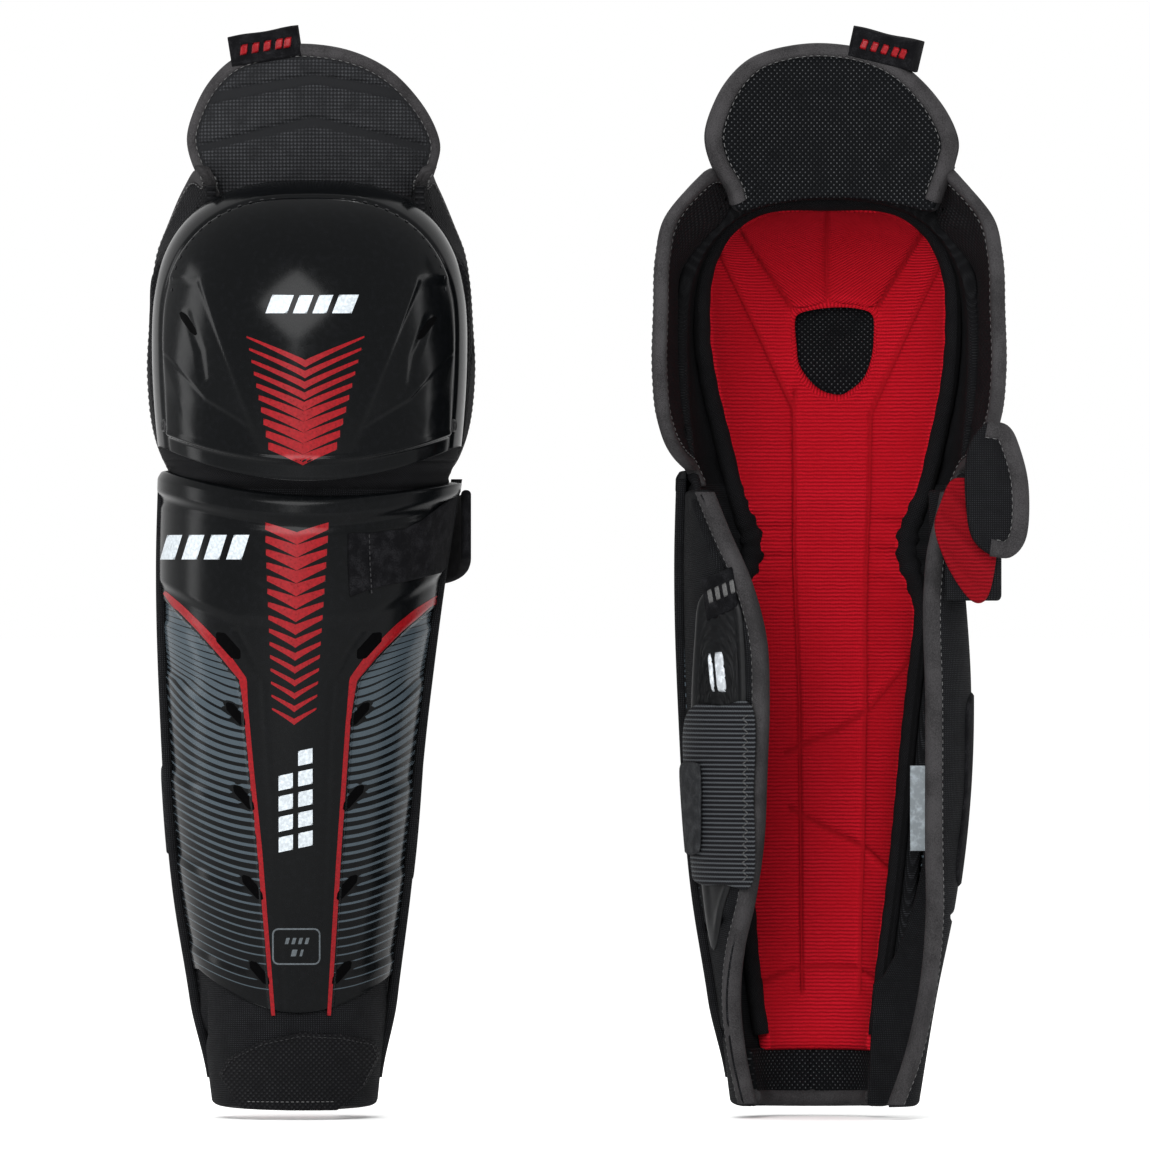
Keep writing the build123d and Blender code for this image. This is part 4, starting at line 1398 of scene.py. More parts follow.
def make_liner_roll(side):
    """Black padded roll round the liner's sides and top, gathered in puckers at the waist."""
    ss = np.concatenate([np.zeros(220), np.linspace(0, 1, 150)[1:-1], np.ones(220)])
    tt = np.concatenate([np.linspace(0.012, 1, 220), np.ones(148), np.linspace(1, 0.012, 220)])
    angle, z = liner_shape(ss, tt)
    path = liner_surface(angle, z, LINER_INSET + 0.6)
    path = resample(evened(path, 3), LINER_ROLL_STEP)
    inward = unit(np.stack([KNEE_X - path[:, 0] * 0.9, -6.0 - path[:, 1], 0.35 * (330 - path[:, 2])
                            * (path[:, 2] > 360)], axis=-1))
    along = unit(np.gradient(path, axis=0))
    across = unit(np.cross(along, inward))
    inward = unit(np.cross(across, along))
    zz = path[:, 2]
    pucker = 1 + bump(zz, 262, 34) * (0.28 + 0.16 * np.sin(zz * 0.8)) + 0.03 * np.sin(zz * 0.5)
    turn = np.linspace(0, 2 * math.pi, LINER_ROLL_RING, endpoint=False)
    half_w, half_h = (size * pucker for size in LINER_ROLL_SIZE)
    points = (path[:, None, :] + across[:, None, :] * (half_w[:, None] * np.cos(turn))[..., None]
              + inward[:, None, :] * (half_h[:, None] * np.sin(turn))[..., None]).reshape(-1, 3)
    faces = ring_faces(len(path), LINER_ROLL_RING)
    length = np.arange(len(path)) * LINER_ROLL_STEP
    flat = np.stack(np.meshgrid(turn * 4.5, length), axis=-1).reshape(-1, 2)
    made = (points, oriented(points, faces), flat)
    lay("liner_roll", side, made, "nylon", "shin", blend=KNEE_BLEND)


# ---------------------------------------------------------------- thigh flap
THIGH_RADIUS = 100.0
FLAP_BOTTOM = [(49, 421.5), (36, 424.5), (20, 427), (2, 428), (-16, 427), (-32, 424.5), (-44, 421.5)]
FLAP_OUTLINE = [(-48, 425), (-50, 431.5), (-57.5, 444), (-60.3, 458), (-55, 474), (-47, 486), (-36, 494.5),
                (-20, 499), (-3, 500.3), (16, 497.8), (32, 491.5), (44, 482.5), (55, 469), (61, 455),
                (59.5, 444), (55, 431.5), (52.5, 425)] + FLAP_BOTTOM


def rounded(corners, closed=True, step=1.5):
    """Smooth line through corner points."""
    p = np.array(corners, float)
    if closed:
        p = np.vstack([p[-1], p, p[0], p[1]])
    else:
        p = np.vstack([2 * p[0] - p[1], p, 2 * p[-1] - p[-2]])
    out = []
    for a, b, c, d in zip(p[:-3], p[1:-2], p[2:-1], p[3:]):
        for t in np.linspace(0, 1, 12, endpoint=False):
            out.append(0.5 * (2 * b + (c - a) * t + (2 * a - 5 * b + 4 * c - d) * t * t
                              + (3 * b - a - 3 * c + d) * t ** 3))
    if not closed:
        out.append(p[-2])
    return resample(np.array(out), step)


def thigh_point(x, z, inset):
    """Point on the thigh flap's front face moved inwards, seen at (x, z)."""
    angle = np.arcsin(np.clip(x / THIGH_RADIUS, -1, 1))
    r = THIGH_RADIUS - inset
    return np.stack([r * np.sin(angle), THIGH_RADIUS - r * np.cos(angle), z + 0 * x], axis=-1)


def thigh_normal(x):
    """Forward direction of the thigh flap at x."""
    return np.stack([x / THIGH_RADIUS, -np.sqrt(1 - (x / THIGH_RADIUS) ** 2), 0 * x], axis=-1)


def chevron_line(x, centre, peak, fall):
    """Height of a shallow roof-shaped line."""
    return peak - fall * (np.abs(x - centre) / 50.0) ** 1.05


def flap_channel(x, z):
    """1 inside the two smooth channels across the flap."""
    share = np.zeros(np.shape(x))
    for high, low in (((1, 486.3, 8.3), (1, 481.6, 9.2)), ((0.5, 466.5, 12.2), (0.5, 461.6, 10.8))):
        top, bottom = chevron_line(x, *high), chevron_line(x, *low)
        share = np.maximum(share, ramp(top - z, -0.2, 0.6) * ramp(z - bottom, -0.2, 0.6))
    return share


def flap_lip(x, z):
    """1 on the sharp upper lip of each channel."""
    first = bump(z - chevron_line(x, 1, 486.3, 8.3), 0.3, 1.1)
    second = bump(z - chevron_line(x, 0.5, 466.5, 12.2), 0.3, 1.1)
    return np.maximum(first, second)


THIGH_BLEND = ("thigh", (0, 4, 424), (0, 4, 433))


def make_thigh_flap(side):
    """Embossed front, mesh back, folded binding and thread of the thigh flap, and its side tab."""
    outline = rounded(FLAP_OUTLINE)
    front = [tuple(p) for p in outline]

    def front_face(x, z, lift):
        return thigh_point(x, z, 2.6 - lift)

    def relief(x, z):
        edge = ramp(inside_distance(x, z, front), 6.2, 8.2)
        grain = 0.09 * (np.sin(x * 3.7) + np.sin(z * 3.7)) * (1 - flap_channel(x, z))
        return edge * (0.8 - 1.3 * flap_channel(x, z) - 0.9 * flap_lip(x, z) + grain) - 0.4

    points, faces, flat = patch(front, front_face, -2.0, 2.4, 230, 170, 2.0, relief, (0, 462))
    x, z = flat[:, 0], flat[:, 1]
    flat[:, 2] = np.maximum(flap_channel(x, z), 1 - ramp(inside_distance(x, z, front), 6, 7))
    made = (points, faces, flat)
    piece = lay("thigh_flap", side, made, "flap", "knee", ["thigh_flap"], THIGH_BLEND)

    def back_face(x, z, lift):
        return thigh_point(x, z, 5.6 + lift)

    def swell(x, z):
        return 0.8 * ramp(inside_distance(x, z, front), 5, 12)

    made = patch(front, back_face, -1.4, 1.6, 110, 90, 2.0, swell, (0, 462))
    lay("thigh_flap_lining", side, made, "mesh", "knee", ["thigh_flap_lining"], THIGH_BLEND)

    path2 = opened(outline, lambda p: p[1] > 424.5 and (abs(p[0]) > 44 or p[1] > 440))
    inward2 = inward_steps(path2, (0.0, 458.0))
    middle2 = path2 + inward2 * 2.9
    path = thigh_point(middle2[:, 0], middle2[:, 1], 4.1)
    normal = thigh_normal(middle2[:, 0])
    inner_end = thigh_point(middle2[:, 0] + inward2[:, 0], middle2[:, 1] + inward2[:, 1], 4.1)
    across = unit(inner_end - path)
    bind("thigh_flap_binding", side, path, normal, across, (3.5, 4.4, 18, 2.8), "knee",
         ["thigh_flap_binding"], THIGH_BLEND)
    for name, inset, sign in (("front", -0.15, 1), ("back", 8.35, -1)):
        line2 = path2 + inward2 * 5.5
        line = thigh_point(line2[:, 0], line2[:, 1], inset)
        sew(f"thigh_{name}_stitches", side, line, sign * thigh_normal(line2[:, 0]), EDGE_STITCHES, "thread",
            "knee", THIGH_BLEND)
    make_side_tab(side)


TABS = {"right": (-22.5, 499.5, 9.0), "left": (26.5, 498.0, -13.0)}


def make_side_tab(side):
    """Short folded webbing tab sewn over the flap's top edge, with a plain mark of slanted bars."""
    cx, cz, tilt = TABS[side]
    c, s = math.cos(math.radians(tilt)), math.sin(math.radians(tilt))
    s_, t_ = edged(34, 34, 0.8), edged(30, 15, 0.8)

    def surface(u, v, inset):
        x, z = cx + u * c - v * s, cz + u * s + v * c
        return thigh_point(x, z, inset)

    def shape(ss, tt):
        ripple = 0.25 * np.sin(ss * 9.0)
        return -17 + 34 * ss, -7.5 + 15 * tt + ripple * (tt > 0.5)

    outer, inner, middle = panel(s_, t_, surface, shape, -1.3, 9.3, 34, 15, 1.3)
    lay("side_tab", side, closed_slab(outer, inner, arc_flat(middle)), "webbing", "thigh",
        ["side_tab"])
    visible = -1.75 if side == "right" else 9.75
    parts = []
    for start in (-11.5, -6.0, -0.5, 5.0, 9.0):
        corners = [(start, -2.4), (start + 3.4, -2.4), (start + 4.6, 2.4), (start + 1.2, 2.4)]
        u, v = np.meshgrid(np.linspace(0, 1, 5), np.linspace(0, 1, 5))
        (ax, az), (bx, bz), (dx, dz), (ex, ez) = corners
        gx = (ax * (1 - u) + bx * u) * (1 - v) + (ex * (1 - u) + dx * u) * v
        gz = (az * (1 - u) + bz * u) * (1 - v) + (ez * (1 - u) + dz * u) * v
        top = surface(gx, gz, visible)
        under = surface(gx, gz, visible + (0.5 if side == "right" else -0.5))
        edge = np.ones(gx.shape, bool)
        edge[1:-1, 1:-1] = False
        under[edge] = top[edge]
        parts.append(closed_slab(top, under, np.stack([gx, gz], axis=-1)))
    film("side_tab_mark", side, parts, "red", "thigh", None)


# ---------------------------------------------------------------- knee wings
KNEE_BASE = smooth_curve([(290, 62), (300, 66), (310, 69.5), (337, 74), (360, 75.2), (375, 75.2), (396, 72.3),
                          (409, 61), (420, 50), (431, 47.5), (446, 56)])
KNEE_FLARE = {
    "right": smooth_curve([(290, 63), (305, 70), (345, 77), (370, 76), (390, 74.5), (404, 72), (416, 67.5),
                           (430, 62), (446, 55)]),
    "left": smooth_curve([(290, 63), (305, 74), (325, 80.5), (345, 82.5), (375, 82), (400, 81), (418, 77),
                          (432, 67), (446, 56)]),
}
KNEE_WING_OUTLINE = [(-4, 302), (2, 300), (16, 304), (28, 313), (38, 328), (42.5, 346), (43, 370), (41, 393),
                     (36, 413), (31, 430), (22, 439.5), (11, 441.5), (1, 438.5), (-4, 432)]


def make_knee_wings(side):
    """Padded side wings of the knee section with folded bindings."""
    outline = rounded(KNEE_WING_OUTLINE)
    ring = [tuple(p) for p in outline]
    for name, sign in (("lateral", -1), ("medial", 1)):
        def surface(y, z, inset):
            back = ramp(y, -14, 34)
            outward = 6.0 * ramp(z, 412, 426) if sign > 0 else 0
            half = (KNEE_BASE(z) + outward) * (1 - back) + KNEE_FLARE[side](z) * back - inset
            return np.stack([KNEE_X + sign * half, y, z + 0 * y], axis=-1)

        def face(y, z, lift):
            return surface(y, z, 3.2 - lift)

        def quilt(y, z):
            edge = ramp(inside_distance(y, z, ring), 6, 9)
            lines = np.maximum(seam(y, z, [(-2, 348), (18, 358), (38, 352)], 2.0),
                               seam(y, z, [(-2, 396), (16, 390), (36, 396)], 2.0))
            return edge * (0.7 - 1.3 * lines)

        made = patch(ring, face, -2.6, 2.6, 70, 90, 2.2, quilt, (19, 373))
        wing = f"{name}_knee_wing"
        lay(wing, side, made, "embossed_black", "knee", [wing])
        path2 = opened(outline, lambda p: p[0] > -2.5)
        inward2 = inward_steps(path2, (15.0, 373.0))
        wide = 3.9
        middle2 = path2 + inward2 * (wide - 0.6)
        path = surface(middle2[:, 0], middle2[:, 1], 3.2)
        normal = np.tile([sign * 1.0, 0.0, 0.0], (len(path), 1))
        across = unit(surface(middle2[:, 0] + inward2[:, 0], middle2[:, 1] + inward2[:, 1], 3.2) - path)
        binding = f"{name}_knee_binding"
        bind(binding, side, path, normal, across, (wide, 3.5, 16), "knee", [binding])
        line2 = path2 + inward2 * (2 * wide - 1.6)
        for where, inset in (("outer", -0.15), ("inner", 6.5)):
            line = surface(line2[:, 0], line2[:, 1], inset)
            facing = normal if where == "outer" else -normal
            stitched = f"{name}_knee_{where}_stitches"
            sew(stitched, side, line, facing, EDGE_STITCHES, "thread", "knee")


# ---------------------------------------------------------------- calf wings
LATERAL_EDGE = smooth_curve([(2, -42), (28, -48), (52, -50), (75, -47), (98, -40.5), (122, -36), (160, -33.6),
                             (193, -32.5), (221, -34), (249, -42.5), (272, -54), (291, -63)])
MEDIAL_EDGE = smooth_curve([(2, 29), (20, 37), (52, 46), (90, 49), (122, 48), (193, 47.5), (245, 47),
                            (262, 49), (280, 54.5), (292, 58)])
WING_FOLD = ((0, 2, 193), (0, 9, 193))
MEDIAL_AXIS_POINT = np.array([52.0, 9.5, 193.0])
MEDIAL_AXIS = unit(np.array([0.05, 0.0, 1.0]))
MEDIAL_TURN = {"right": math.radians(23), "left": 0.0}
MEDIAL_SHIFT = smooth_curve([(0, 7.0), (55, 7.0), (100, 8.0), (193, 8.0), (240, 3.0), (262, 0.0), (296, 0.0)])


def rear_angle(x, centre, half):
    """Angle of the rear point seen at x: 180 degrees is straight back."""
    return np.pi - np.arcsin(np.clip((x - centre) / half, -1, 1))


def turn_medial(points, side):
    """Medial wing points of this guard: the right guard's wing is folded further in."""
    angle = MEDIAL_TURN[side]
    if angle == 0:
        return points
    rel = points - MEDIAL_AXIS_POINT
    c, s = math.cos(angle), math.sin(angle)
    share = ramp(points[..., 1], 1.0, 9.0)[..., None]
    along = (rel @ MEDIAL_AXIS)[..., None] * MEDIAL_AXIS
    turned = rel * c + np.cross(MEDIAL_AXIS, rel) * s + along * (1 - c) + MEDIAL_AXIS_POINT
    moved = points * (1 - share) + turned * share
    moved[..., 0] -= MEDIAL_SHIFT(points[..., 2])
    return moved


def lateral_surface(angle, z, inset):
    """Point on the lateral calf wing: the shin's own curve, carried on round the back."""
    return shin_point(-angle, z, inset)


def outwards(points):
    """Level directions from the middle of the leg to points on the lateral side."""
    z = points[:, 2]
    return unit(np.stack([points[:, 0] - SHIN_CX(z), points[:, 1] - SHIN_CY(z), 0 * z], axis=-1))


def lateral_angle(x, z):
    """Angle on the lateral side, 90 at the silhouette and 180 straight back, of the rear point at x."""
    return np.pi - np.arcsin(np.clip(-(x - SHIN_CX(z)) / SHIN_A(z), -1, 1))


def make_lateral_wing(side):
    """Lateral calf wing: padded sheet, binding, thread, shield insert and plain label."""
    low_z, high_z = 2.0, 291.0
    s, t = edged(80, 80, 2.5), edged(190, 289, 2.5)

    def shape(ss, tt):
        z = low_z + (high_z - low_z) * tt
        edge = lateral_angle(LATERAL_EDGE(z), z)
        start = math.radians(86)
        return start + (edge - start) * ss, z

    def swell(x, z):
        lines = (seam(x, z, [(-40, 95), (-56, 84), (-75, 92)], 2.6)
                 + seam(x, z, [(-38, 40), (-52, 34), (-60, 36)], 2.6))
        lines += seam(x, z, [(-38, 230), (-52, 262), (-60, 285)], 2.0)
        return 0.9 - 1.7 * np.clip(lines, 0, 1)

    fold = ("lateral_wing", *WING_FOLD)
    sheet = panel(s, t, lateral_surface, shape, 2.4, 8.2, 80, 289, 2.5, swell)
    cushion("lateral_calf_wing", side, sheet, "speckle", "shin",
            ["lateral_calf_wing"], fold)

    z = np.linspace(290, 3, 230)
    edge = lateral_angle(LATERAL_EDGE(z), z)
    half = 3.9
    path = lateral_surface(edge, z, 5.4)
    nearby = lateral_surface(edge - 0.06, z, 5.4)
    across = unit(nearby - path)
    path = path + across * (half - 0.8)
    normal = outwards(path)
    bind("lateral_calf_binding", side, path, normal, across, (half, 4.3, 18), "shin",
         ["lateral_calf_binding"], fold)
    line = path + across * (half - 1.6) + normal * 3.6
    sew("lateral_calf_stitches", side, line, normal, EDGE_STITCHES, "thread", "shin", fold)
    make_shield(side)
    make_lateral_label(side)


def on_lateral(inset):
    """Surface call for patches on the lateral wing's outer face."""
    def surface_at(x, z, lift):
        return lateral_surface(lateral_angle(x, z), z, inset - lift)
    return surface_at


SHIELD_OUTLINE = [(-52, 246), (-44, 238), (-41.5, 222), (-40.5, 190), (-42, 150), (-43.5, 125), (-47, 108),
                  (-51.5, 94), (-54, 80), (-56, 74), (-58.5, 82), (-61, 100), (-64, 130), (-66, 160),
                  (-66.5, 190), (-65, 220), (-62.5, 240)]


def make_shield(side):
    """Moulded insert with an embossed diamond grid, a rolled edge and two light bars."""
    ring = [tuple(p) for p in rounded(SHIELD_OUTLINE)]

    def relief(x, z):
        inside = inside_distance(x, z, ring)
        along = (lateral_angle(x, z) - 2.0) * 55
        u, v = (along + z) / 5.2, (along - z) / 5.2
        cell = np.minimum(np.abs(u - np.round(u)), np.abs(v - np.round(v)))
        grid = 0.8 * (1 - ramp(cell, 0.02, 0.16)) * ramp(inside, 3.0, 4.5) * ramp(z, 168, 172)
        rim = 0.5 * bump(inside, 1.6, 1.6)
        sunk = 0.5 * ramp(inside, 2.6, 4.0)
        cut = 0.8 * seam(x, z, [(-66, 172), (-52, 164), (-40, 172)], 1.4)
        return rim - sunk + grid - cut

    made = patch(ring, on_lateral(2.2), 0.0, 1.7, 100, 160, 1.6, relief)
    lay("calf_shield", side, made, "shield", "lateral_wing", ["calf_shield"])
    parts = []
    for corners in ([(-53.6, 196), (-49.3, 196.3), (-51.3, 215.2), (-55.2, 214.8)],
                    [(-56.6, 196.5), (-54.9, 196.3), (-56.6, 214.6), (-58.3, 214.2)]):
        parts.append(patch(corners, on_lateral(2.2), 0.9, 2.2, 14, 14, 0.5))
    film("calf_shield_bars", side, parts, "light_bar", "lateral_wing", None)


def make_lateral_label(side):
    """Woven label sewn on the upper lateral wing, with plain bars."""
    corners = [(-58.5, 229), (-44, 236), (-47, 255), (-61.5, 249)]
    made = patch(corners, on_lateral(2.2), 0.4, 2.3, 24, 24, 0.8)
    lay("calf_label", side, made, "webbing", "lateral_wing")
    bar = [(-57, 237.5), (-55, 238.4), (-56, 244.6), (-58, 243.8)]
    light = [patch([(x + k * 3.4, z + k * 1.5) for x, z in bar], on_lateral(2.2), 2.0, 2.75, 8, 8, 0.3)
             for k in range(4)]
    film("calf_label_bars", side, light, "thread", "lateral_wing", None)


def medial_surface(side):
    """Surface call of the medial wing of one guard."""
    def surface(angle, z, inset):
        return turn_medial(medial_point(angle, z, inset), side)
    return surface


def make_medial_wing(side):
    """Medial calf wing: padded sheet, binding and thread."""
    surface = medial_surface(side)
    low_z, high_z = 2.0, 291.0
    s, t = edged(70, 70, 2.5), edged(190, 289, 2.5)

    def shape(ss, tt):
        z = low_z + (high_z - low_z) * tt
        edge = rear_angle(MEDIAL_EDGE(z), MEDIAL_CX(z), MEDIAL_A(z))
        start = np.arccos(np.clip((MEDIAL_CY(z) - 1.5) / MEDIAL_B(z), -1, 1))
        return start + (edge - start) * ss, z

    def swell(x, z):
        return 0.8 - 1.5 * seam(x, z, [(40, 98), (60, 88), (75, 92)], 2.6)

    fold = ("medial_wing", *WING_FOLD)
    sheet = panel(s, t, surface, shape, 1.0, 6.6, 70, 289, 2.5, swell)
    cushion("medial_calf_wing", side, sheet, "speckle", "shin",
            ["medial_calf_wing"], fold)

    z = np.linspace(290, 3, 230)
    edge = rear_angle(MEDIAL_EDGE(z), MEDIAL_CX(z), MEDIAL_A(z))
    path = surface(edge, z, 3.8)
    across = unit(surface(edge - 0.06, z, 3.8) - path)
    outward = unit(surface(edge, z, 0.0) - surface(edge, z, 6.0))
    path = path + across * 3.0
    bind("medial_calf_binding", side, path, outward, across, (3.9, 3.7, 18), "shin",
         ["medial_calf_binding"], fold)
    for where, sign in (("outer", 1), ("inner", -1)):
        line = path + across * 2.3 + sign * outward * 3.2
        sew(f"medial_calf_{where}_stitches", side, line, sign * outward, EDGE_STITCHES, "thread",
            "shin", fold)


def make_loop_patch(side):
    """Loop patch sewn on the medial wing's outer face for the lower strap's tab."""
    surface = medial_surface(side)

    def on_medial(y, z, lift):
        angle = np.arccos(np.clip((MEDIAL_CY(z) - y) / MEDIAL_B(z), -1, 1))
        return surface(angle, z, 0.4 - lift)

    corners = rounded([(15, 110), (37, 110), (38, 150), (37, 191), (15, 191), (14, 150)])
    made = patch([tuple(p) for p in corners], on_medial, -0.6, 1.5, 30, 60, 1.0)
    lay("loop_patch", side, made, "webbing", "medial_wing", ["loop_patch"])


def make_care_label(side):
    """Blank care label that hangs inside the medial wing's edge."""
    surface = medial_surface(side)
    wide, tall, low_z = 11, 40, 122

    def inside_face(u, v, inset):
        edge_point = surface(rear_angle(MEDIAL_EDGE(v), MEDIAL_CX(v), MEDIAL_A(v)), v, 5.0)
        return edge_point + np.stack([3.0 - u, -0.6 - 0.25 * u - inset, 0 * u], axis=-1)

    def label_shape(ss, tt):
        return wide * ss, low_z + tall * tt

    s, t = edged(12, wide, 0.4), edged(24, tall, 0.4)
    outer, inner, middle = panel(s, t, inside_face, label_shape, -0.4, 0.4, wide, tall, 0.4)
    lay("care_label", side, closed_slab(outer, inner, arc_flat(middle)), "care", "medial_wing")


# ---------------------------------------------------------------- straps
def swept_sheet(line, z_low, z_high, thickness, rim, columns=90, rows=30, relief=None):
    """Upright padded sheet along a plan-view line (x, y), rounded at its edges."""
    path = resample(np.array(line, float), 0.8)
    length = 0.8 * (len(path) - 1)
    s, t = edged(columns, length, rim), edged(rows, z_high(0) - z_low(0), rim)
    ss, tt = np.meshgrid(s, t)
    along = np.linspace(0, 1, len(path))
    tangent = unit(np.gradient(path, axis=0))
    tangent = unit(evened(tangent, 4))
    x, y = np.interp(ss, along, path[:, 0]), np.interp(ss, along, path[:, 1])
    nx, ny = np.interp(ss, along, tangent[:, 1]), -np.interp(ss, along, tangent[:, 0])
    low, high = z_low(ss), z_high(ss)
    z = low + (high - low) * tt
    share = edge_round(ss, tt, length, 40, rim) * thickness / 2
    swell = 0 if relief is None else relief(ss, tt) * edge_round(ss, tt, length, 40, rim)
    outer = np.stack([x + nx * (share + swell), y + ny * (share + swell), z], axis=-1)
    inner = np.stack([x - nx * share, y - ny * share, z], axis=-1)
    flat = np.stack([ss * length, z], axis=-1)
    return closed_slab(outer, inner, flat)


def anchor_surface(x, z, lift):
    """Front of the shell where the upper strap is sewn on, with the strap's own small waves."""
    return shin_point(shin_angle(x, z), z, -1.6 - lift)


def make_upper_strap_anchor(side):
    """Sewn end of the upper strap on the front of the shell."""
    outline = [(17.2, 270.6), (30, 271), (44, 273), (51.4, 277), (60, 284), (67.2, 290), (67.2, 259),
               (59.2, 252), (44, 248), (27, 244.3), (18, 240.4), (17.2, 255)]

    def relief(x, z):
        fold = bump(x, 29, 1.4) * 0.5
        return 0.25 * np.sin(x * 0.55 + z * 0.11) - fold + 0.5 * bump(x, 31.5, 2.0)

    made = patch(outline, anchor_surface, -0.9, 0.8, 70, 60, 1.0, relief)
    lay("upper_strap_anchor", side, made, "webbing", "shin", ["upper_strap_anchor"])
    line2 = resample(np.array([(27.5, 242), (26.8, 256), (26.5, 272)]), 0.6)
    line = anchor_surface(line2[:, 0], line2[:, 1], 0.9)
    sew("upper_strap_stitches", side, line, shin_normal(line2[:, 0], line2[:, 1]), (2.6, 1.8, 0.7),
        "dark_thread", "shin")


def make_closed_upper_strap(side):
    """Padded strap bent from the shell's front round the medial side to the calf."""
    turn = np.radians(np.linspace(-2, 97, 60))
    line = np.stack([72.4 * np.cos(turn), 6 + 67.4 * np.sin(turn)], axis=-1)
    made = swept_sheet(line[::-1], lambda s: 245.0 + 14.0 * s ** 5, lambda s: 287.0 + 4.0 * s ** 5,
                       4.6, 2.0, 120, 34, lambda s, t: 0.25 * np.sin(s * 22))
    lay("upper_strap_pad", side, made, "webbing", "upper_strap",
        ["upper_strap_pad", "upper_strap_end"])


def make_open_upper_strap(side):
    """Padded strap folded back on itself, with its red lining and its bound end turned to the rear."""
    lining_y, end_y = 53.0, 57.6
    line = rounded([(68.5, 8), (72, 29), (76.4, 45), (77, 49.5), (73, 51), (62, 50.8), (53, 50.6)],
                   closed=False, step=0.8)
    made = swept_sheet(line, lambda s: 239.0 + 0 * s, lambda s: 293.0 + 0 * s, 4.4, 2.0, 90, 40)
    lay("upper_strap_pad", side, made, "speckle", "upper_strap", ["upper_strap_pad"])
    lining = [(57, 296), (50.5, 284), (48, 272.5), (54, 255), (64.5, 239.5), (72, 239.5), (76, 253),
              (77, 272), (72, 292)]
    ring = [tuple(p) for p in rounded(lining)]
    made = patch(ring, lambda x, z, lift: np.stack([x, lining_y + lift, z], axis=-1), -0.4, 1.6, 40, 60, 1.6,
                 lambda x, z: 0.8 * np.sin((z + 1.1 * x) * 0.42))
    # the lining uses the half-bright knit: painted shade
    lay("upper_strap_lining", side, made, "strap_knit_painted_shade", "upper_strap")
    rear_edge = [(72.7, 322.4), (81.8, 320.0), (86.8, 310.6), (91.0, 292.6), (90.3, 270.0), (83.6, 260.2),
                 (73.6, 260.5)]
    outline = rounded(rear_edge + [(65.0, 269.1), (62.2, 287.1), (62.2, 303.4), (65.0, 314.2)])
    ring = [tuple(p) for p in outline]

    def flat_face(x, z, lift):
        return np.stack([x, end_y + lift + 0 * x, z], axis=-1)

    def swell(x, z):
        return 0.6 * ramp(inside_distance(x, z, ring), 5, 10)

    made = patch(ring, flat_face, -3.0, 2.6, 60, 70, 2.0, swell)
    lay("upper_strap_end", side, made, "speckle", "upper_strap", ["upper_strap_end"])
    path2 = rounded(rear_edge, closed=False)
    inward2 = inward_steps(path2, (76.0, 289.0))
    middle2 = path2 + inward2 * 3.8
    path = np.stack([middle2[:, 0], end_y + 0 * middle2[:, 0], middle2[:, 1]], axis=-1)
    across = np.stack([inward2[:, 0], 0 * middle2[:, 0], inward2[:, 1]], axis=-1)
    normal = np.tile([0.0, 1.0, 0.0], (len(path), 1))
    bind("upper_strap_end_binding", side, path, normal, across, (4.6, 3.6, 16), "upper_strap")
    line = path + across * 3.4 + normal * 3.1
    sew("upper_strap_end_stitches", side, line, normal, EDGE_STITCHES, "thread", "upper_strap")


def make_upper_strap(side):
    """Upper strap, closed on the right guard and open on the left."""
    make_upper_strap_anchor(side)
    if side == "right":
        make_closed_upper_strap(side)
    else:
        make_open_upper_strap(side)


def zigzag(x, z_low, z_high, swing, step):
    """Zigzag line in the rear view."""
    count = int((z_high - z_low) / step)
    return [(x + (swing if k % 2 else -swing), z_low + k * step) for k in range(count)]


def make_lower_strap(side):
    """Ribbed elastic lower strap over the lateral wing, its zigzag thread and its hook tab."""
    outline = [tuple(p) for p in rounded([(-36.5, 107), (-36.0, 148), (-36.5, 189), (-52, 189.8), (-63, 190),
                                          (-68, 180), (-68.4, 148), (-68, 118), (-62, 106.5), (-50, 106)])]
    made = patch(outline, on_lateral(-0.7), -0.7, 0.7, 60, 110, 0.8)
    lay("lower_strap", side, made, "elastic", "lower_strap", ["lower_strap"])
    line2 = resample(np.array(zigzag(-39.5, 108, 188, 1.3, 2.1)), 0.7)
    line = on_lateral(-0.7)(line2[:, 0], line2[:, 1], 0.8)
    sew("lower_strap_stitches", side, line, outwards(line), (2.3, 2.0, 0.6), "thread",
        "lower_strap")
    tab = [tuple(p) for p in rounded([(-68.2, 122), (-66, 120), (-60.5, 120), (-58.8, 123), (-58.5, 140),
                                      (-58.8, 160), (-60.5, 163), (-66, 163), (-68.2, 160), (-68.4, 140)])]
    made = patch(tab, on_lateral(-0.7), 1.2, 2.9, 24, 50, 1.0)
    lay("lower_strap_tab", side, made, "hook", "lower_strap", ["lower_strap_tab"])


# ---------------------------------------------------------------- the pair
MAKERS = (make_shell, make_shell_red, make_shell_white, make_shell_vents, make_shell_frame, make_shell_trim,
          make_shin_padding, make_ankle, make_knee_cap, make_cap_details, make_knee_padding, make_knee_neck,
          make_liner, make_liner_opening, make_liner_roll, make_thigh_flap, make_knee_wings,
          make_lateral_wing, make_medial_wing, make_loop_patch, make_care_label, make_upper_strap,
          make_lower_strap)
for guard in SIDES:
    for make in MAKERS:
        make(guard)


# ---------------------------------------------------------------- camera, light and floor
def area_light(name, place_m, aim_m, size, power):
    """Softbox at a place, facing a point."""
    data = bpy.data.lights.new(name, "AREA")
    data.shape = "RECTANGLE"
    data.size, data.size_y = size
    data.energy = power
    lamp = bpy.data.objects.new(name, data)
    lamp.location = place_m
    direction = mathutils.Vector(aim_m) - mathutils.Vector(place_m)
    lamp.rotation_euler = direction.to_track_quat("-Z", "Y").to_euler()
    bpy.context.scene.collection.objects.link(lamp)
    return lamp


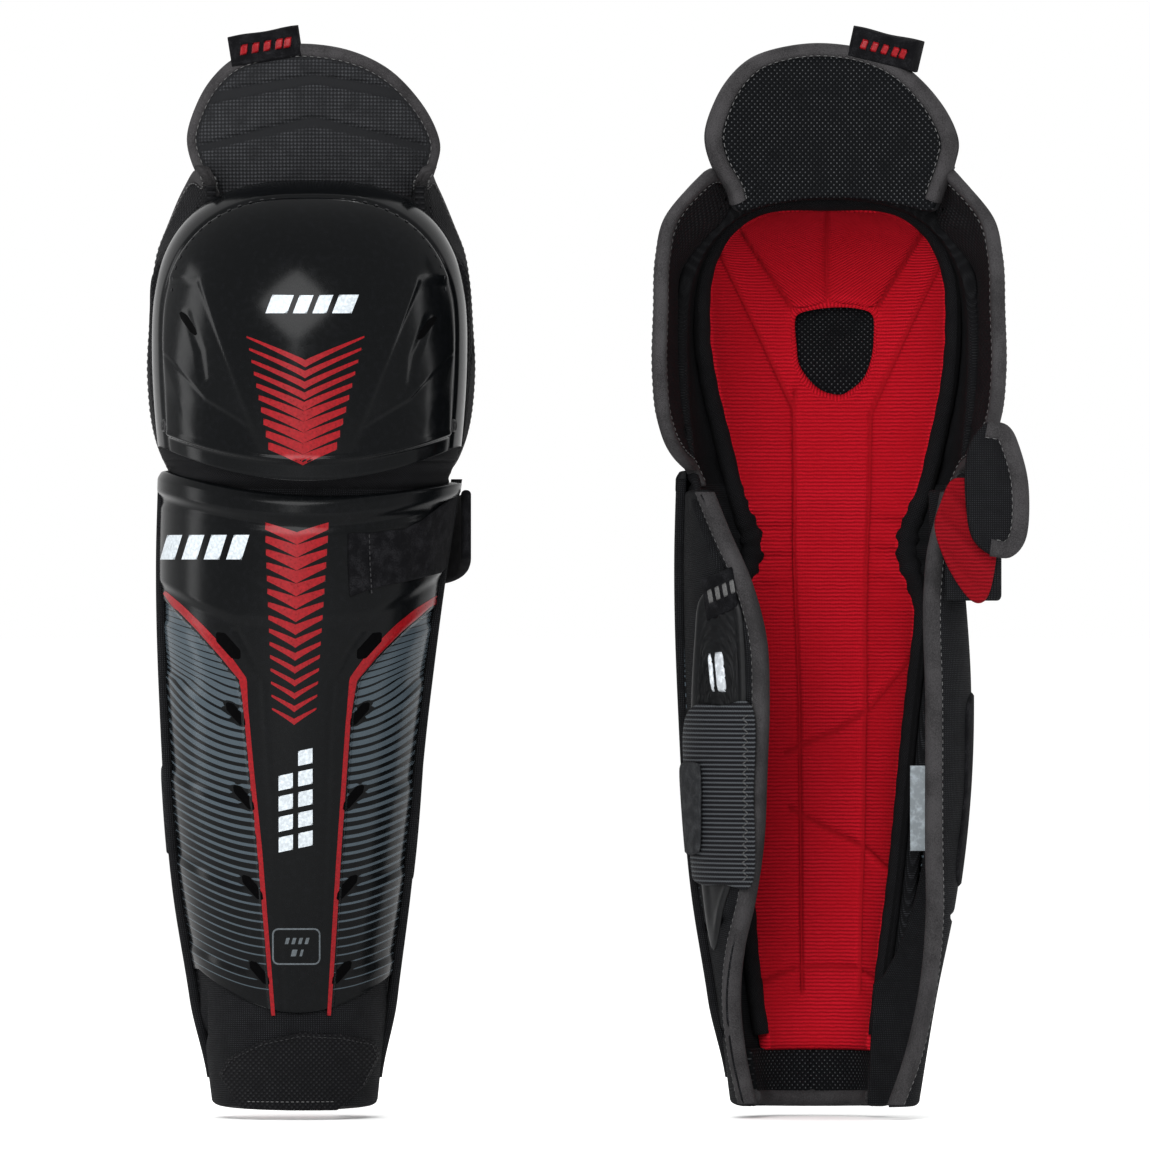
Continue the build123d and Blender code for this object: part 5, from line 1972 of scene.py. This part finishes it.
camera_data = bpy.data.cameras.new("camera")
camera_data.lens, camera_data.sensor_width = 532.8, 36.0
camera = bpy.data.objects.new("camera", camera_data)
camera.location = (0.1236, -8.0, 0.251)
camera.rotation_euler = (math.radians(90), 0, 0)
bpy.context.scene.collection.objects.link(camera)
bpy.context.scene.camera = camera

AIM = (0.12, 0.0, 0.25)
area_light("left_box", (-1.7, 0.1, 0.45), AIM, (0.4, 1.5), 9)
area_light("right_box", (1.95, 0.1, 0.45), AIM, (0.4, 1.5), 9)
area_light("top_box", (-0.02, 1.15, 1.85), (0.0, 0.0, 0.42), (0.7, 0.5), 12)
diamond = area_light("front_box", (-0.4, -2.6, 1.47), (0.0, 0.0, 0.38), (1.8, 1.8), 82)
turned = diamond.rotation_euler.to_matrix() @ mathutils.Matrix.Rotation(math.radians(45), 3, "Z")
diamond.rotation_euler = turned.to_euler()

world = bpy.data.worlds.new("studio")
world.use_nodes = True
world.node_tree.nodes["Background"].inputs["Color"].default_value = (1, 1, 1, 1)
world.node_tree.nodes["Background"].inputs["Strength"].default_value = 1.0
bpy.context.scene.world = world
bpy.context.scene.view_settings.view_transform = "Standard"
bpy.context.scene.view_settings.gamma = 0.85

FLOOR_Z, FLOOR_RADIUS, FLOOR_GLOW = -0.004, 60.0, 0.07


def make_floor():
    """Pale studio floor, wide enough to run into the pale surroundings."""
    ring = [(FLOOR_RADIUS * math.cos(math.radians(a)), FLOOR_RADIUS * math.sin(math.radians(a)), FLOOR_Z)
            for a in range(0, 360, 5)]
    mesh = bpy.data.meshes.new("floor")
    mesh.from_pydata(ring, [], [tuple(range(len(ring)))])
    floor = bpy.data.objects.new("floor", mesh)
    bpy.context.scene.collection.objects.link(floor)
    white = Surface("floor_white", 1.0, Specular_IOR_Level=0.0)
    white.shader.inputs["Base Color"].default_value = (0.94, 0.94, 0.94, 1)
    white.shader.inputs["Emission Color"].default_value = (1, 1, 1, 1)
    white.shader.inputs["Emission Strength"].default_value = FLOOR_GLOW
    mesh.materials.append(white.material)


make_floor()
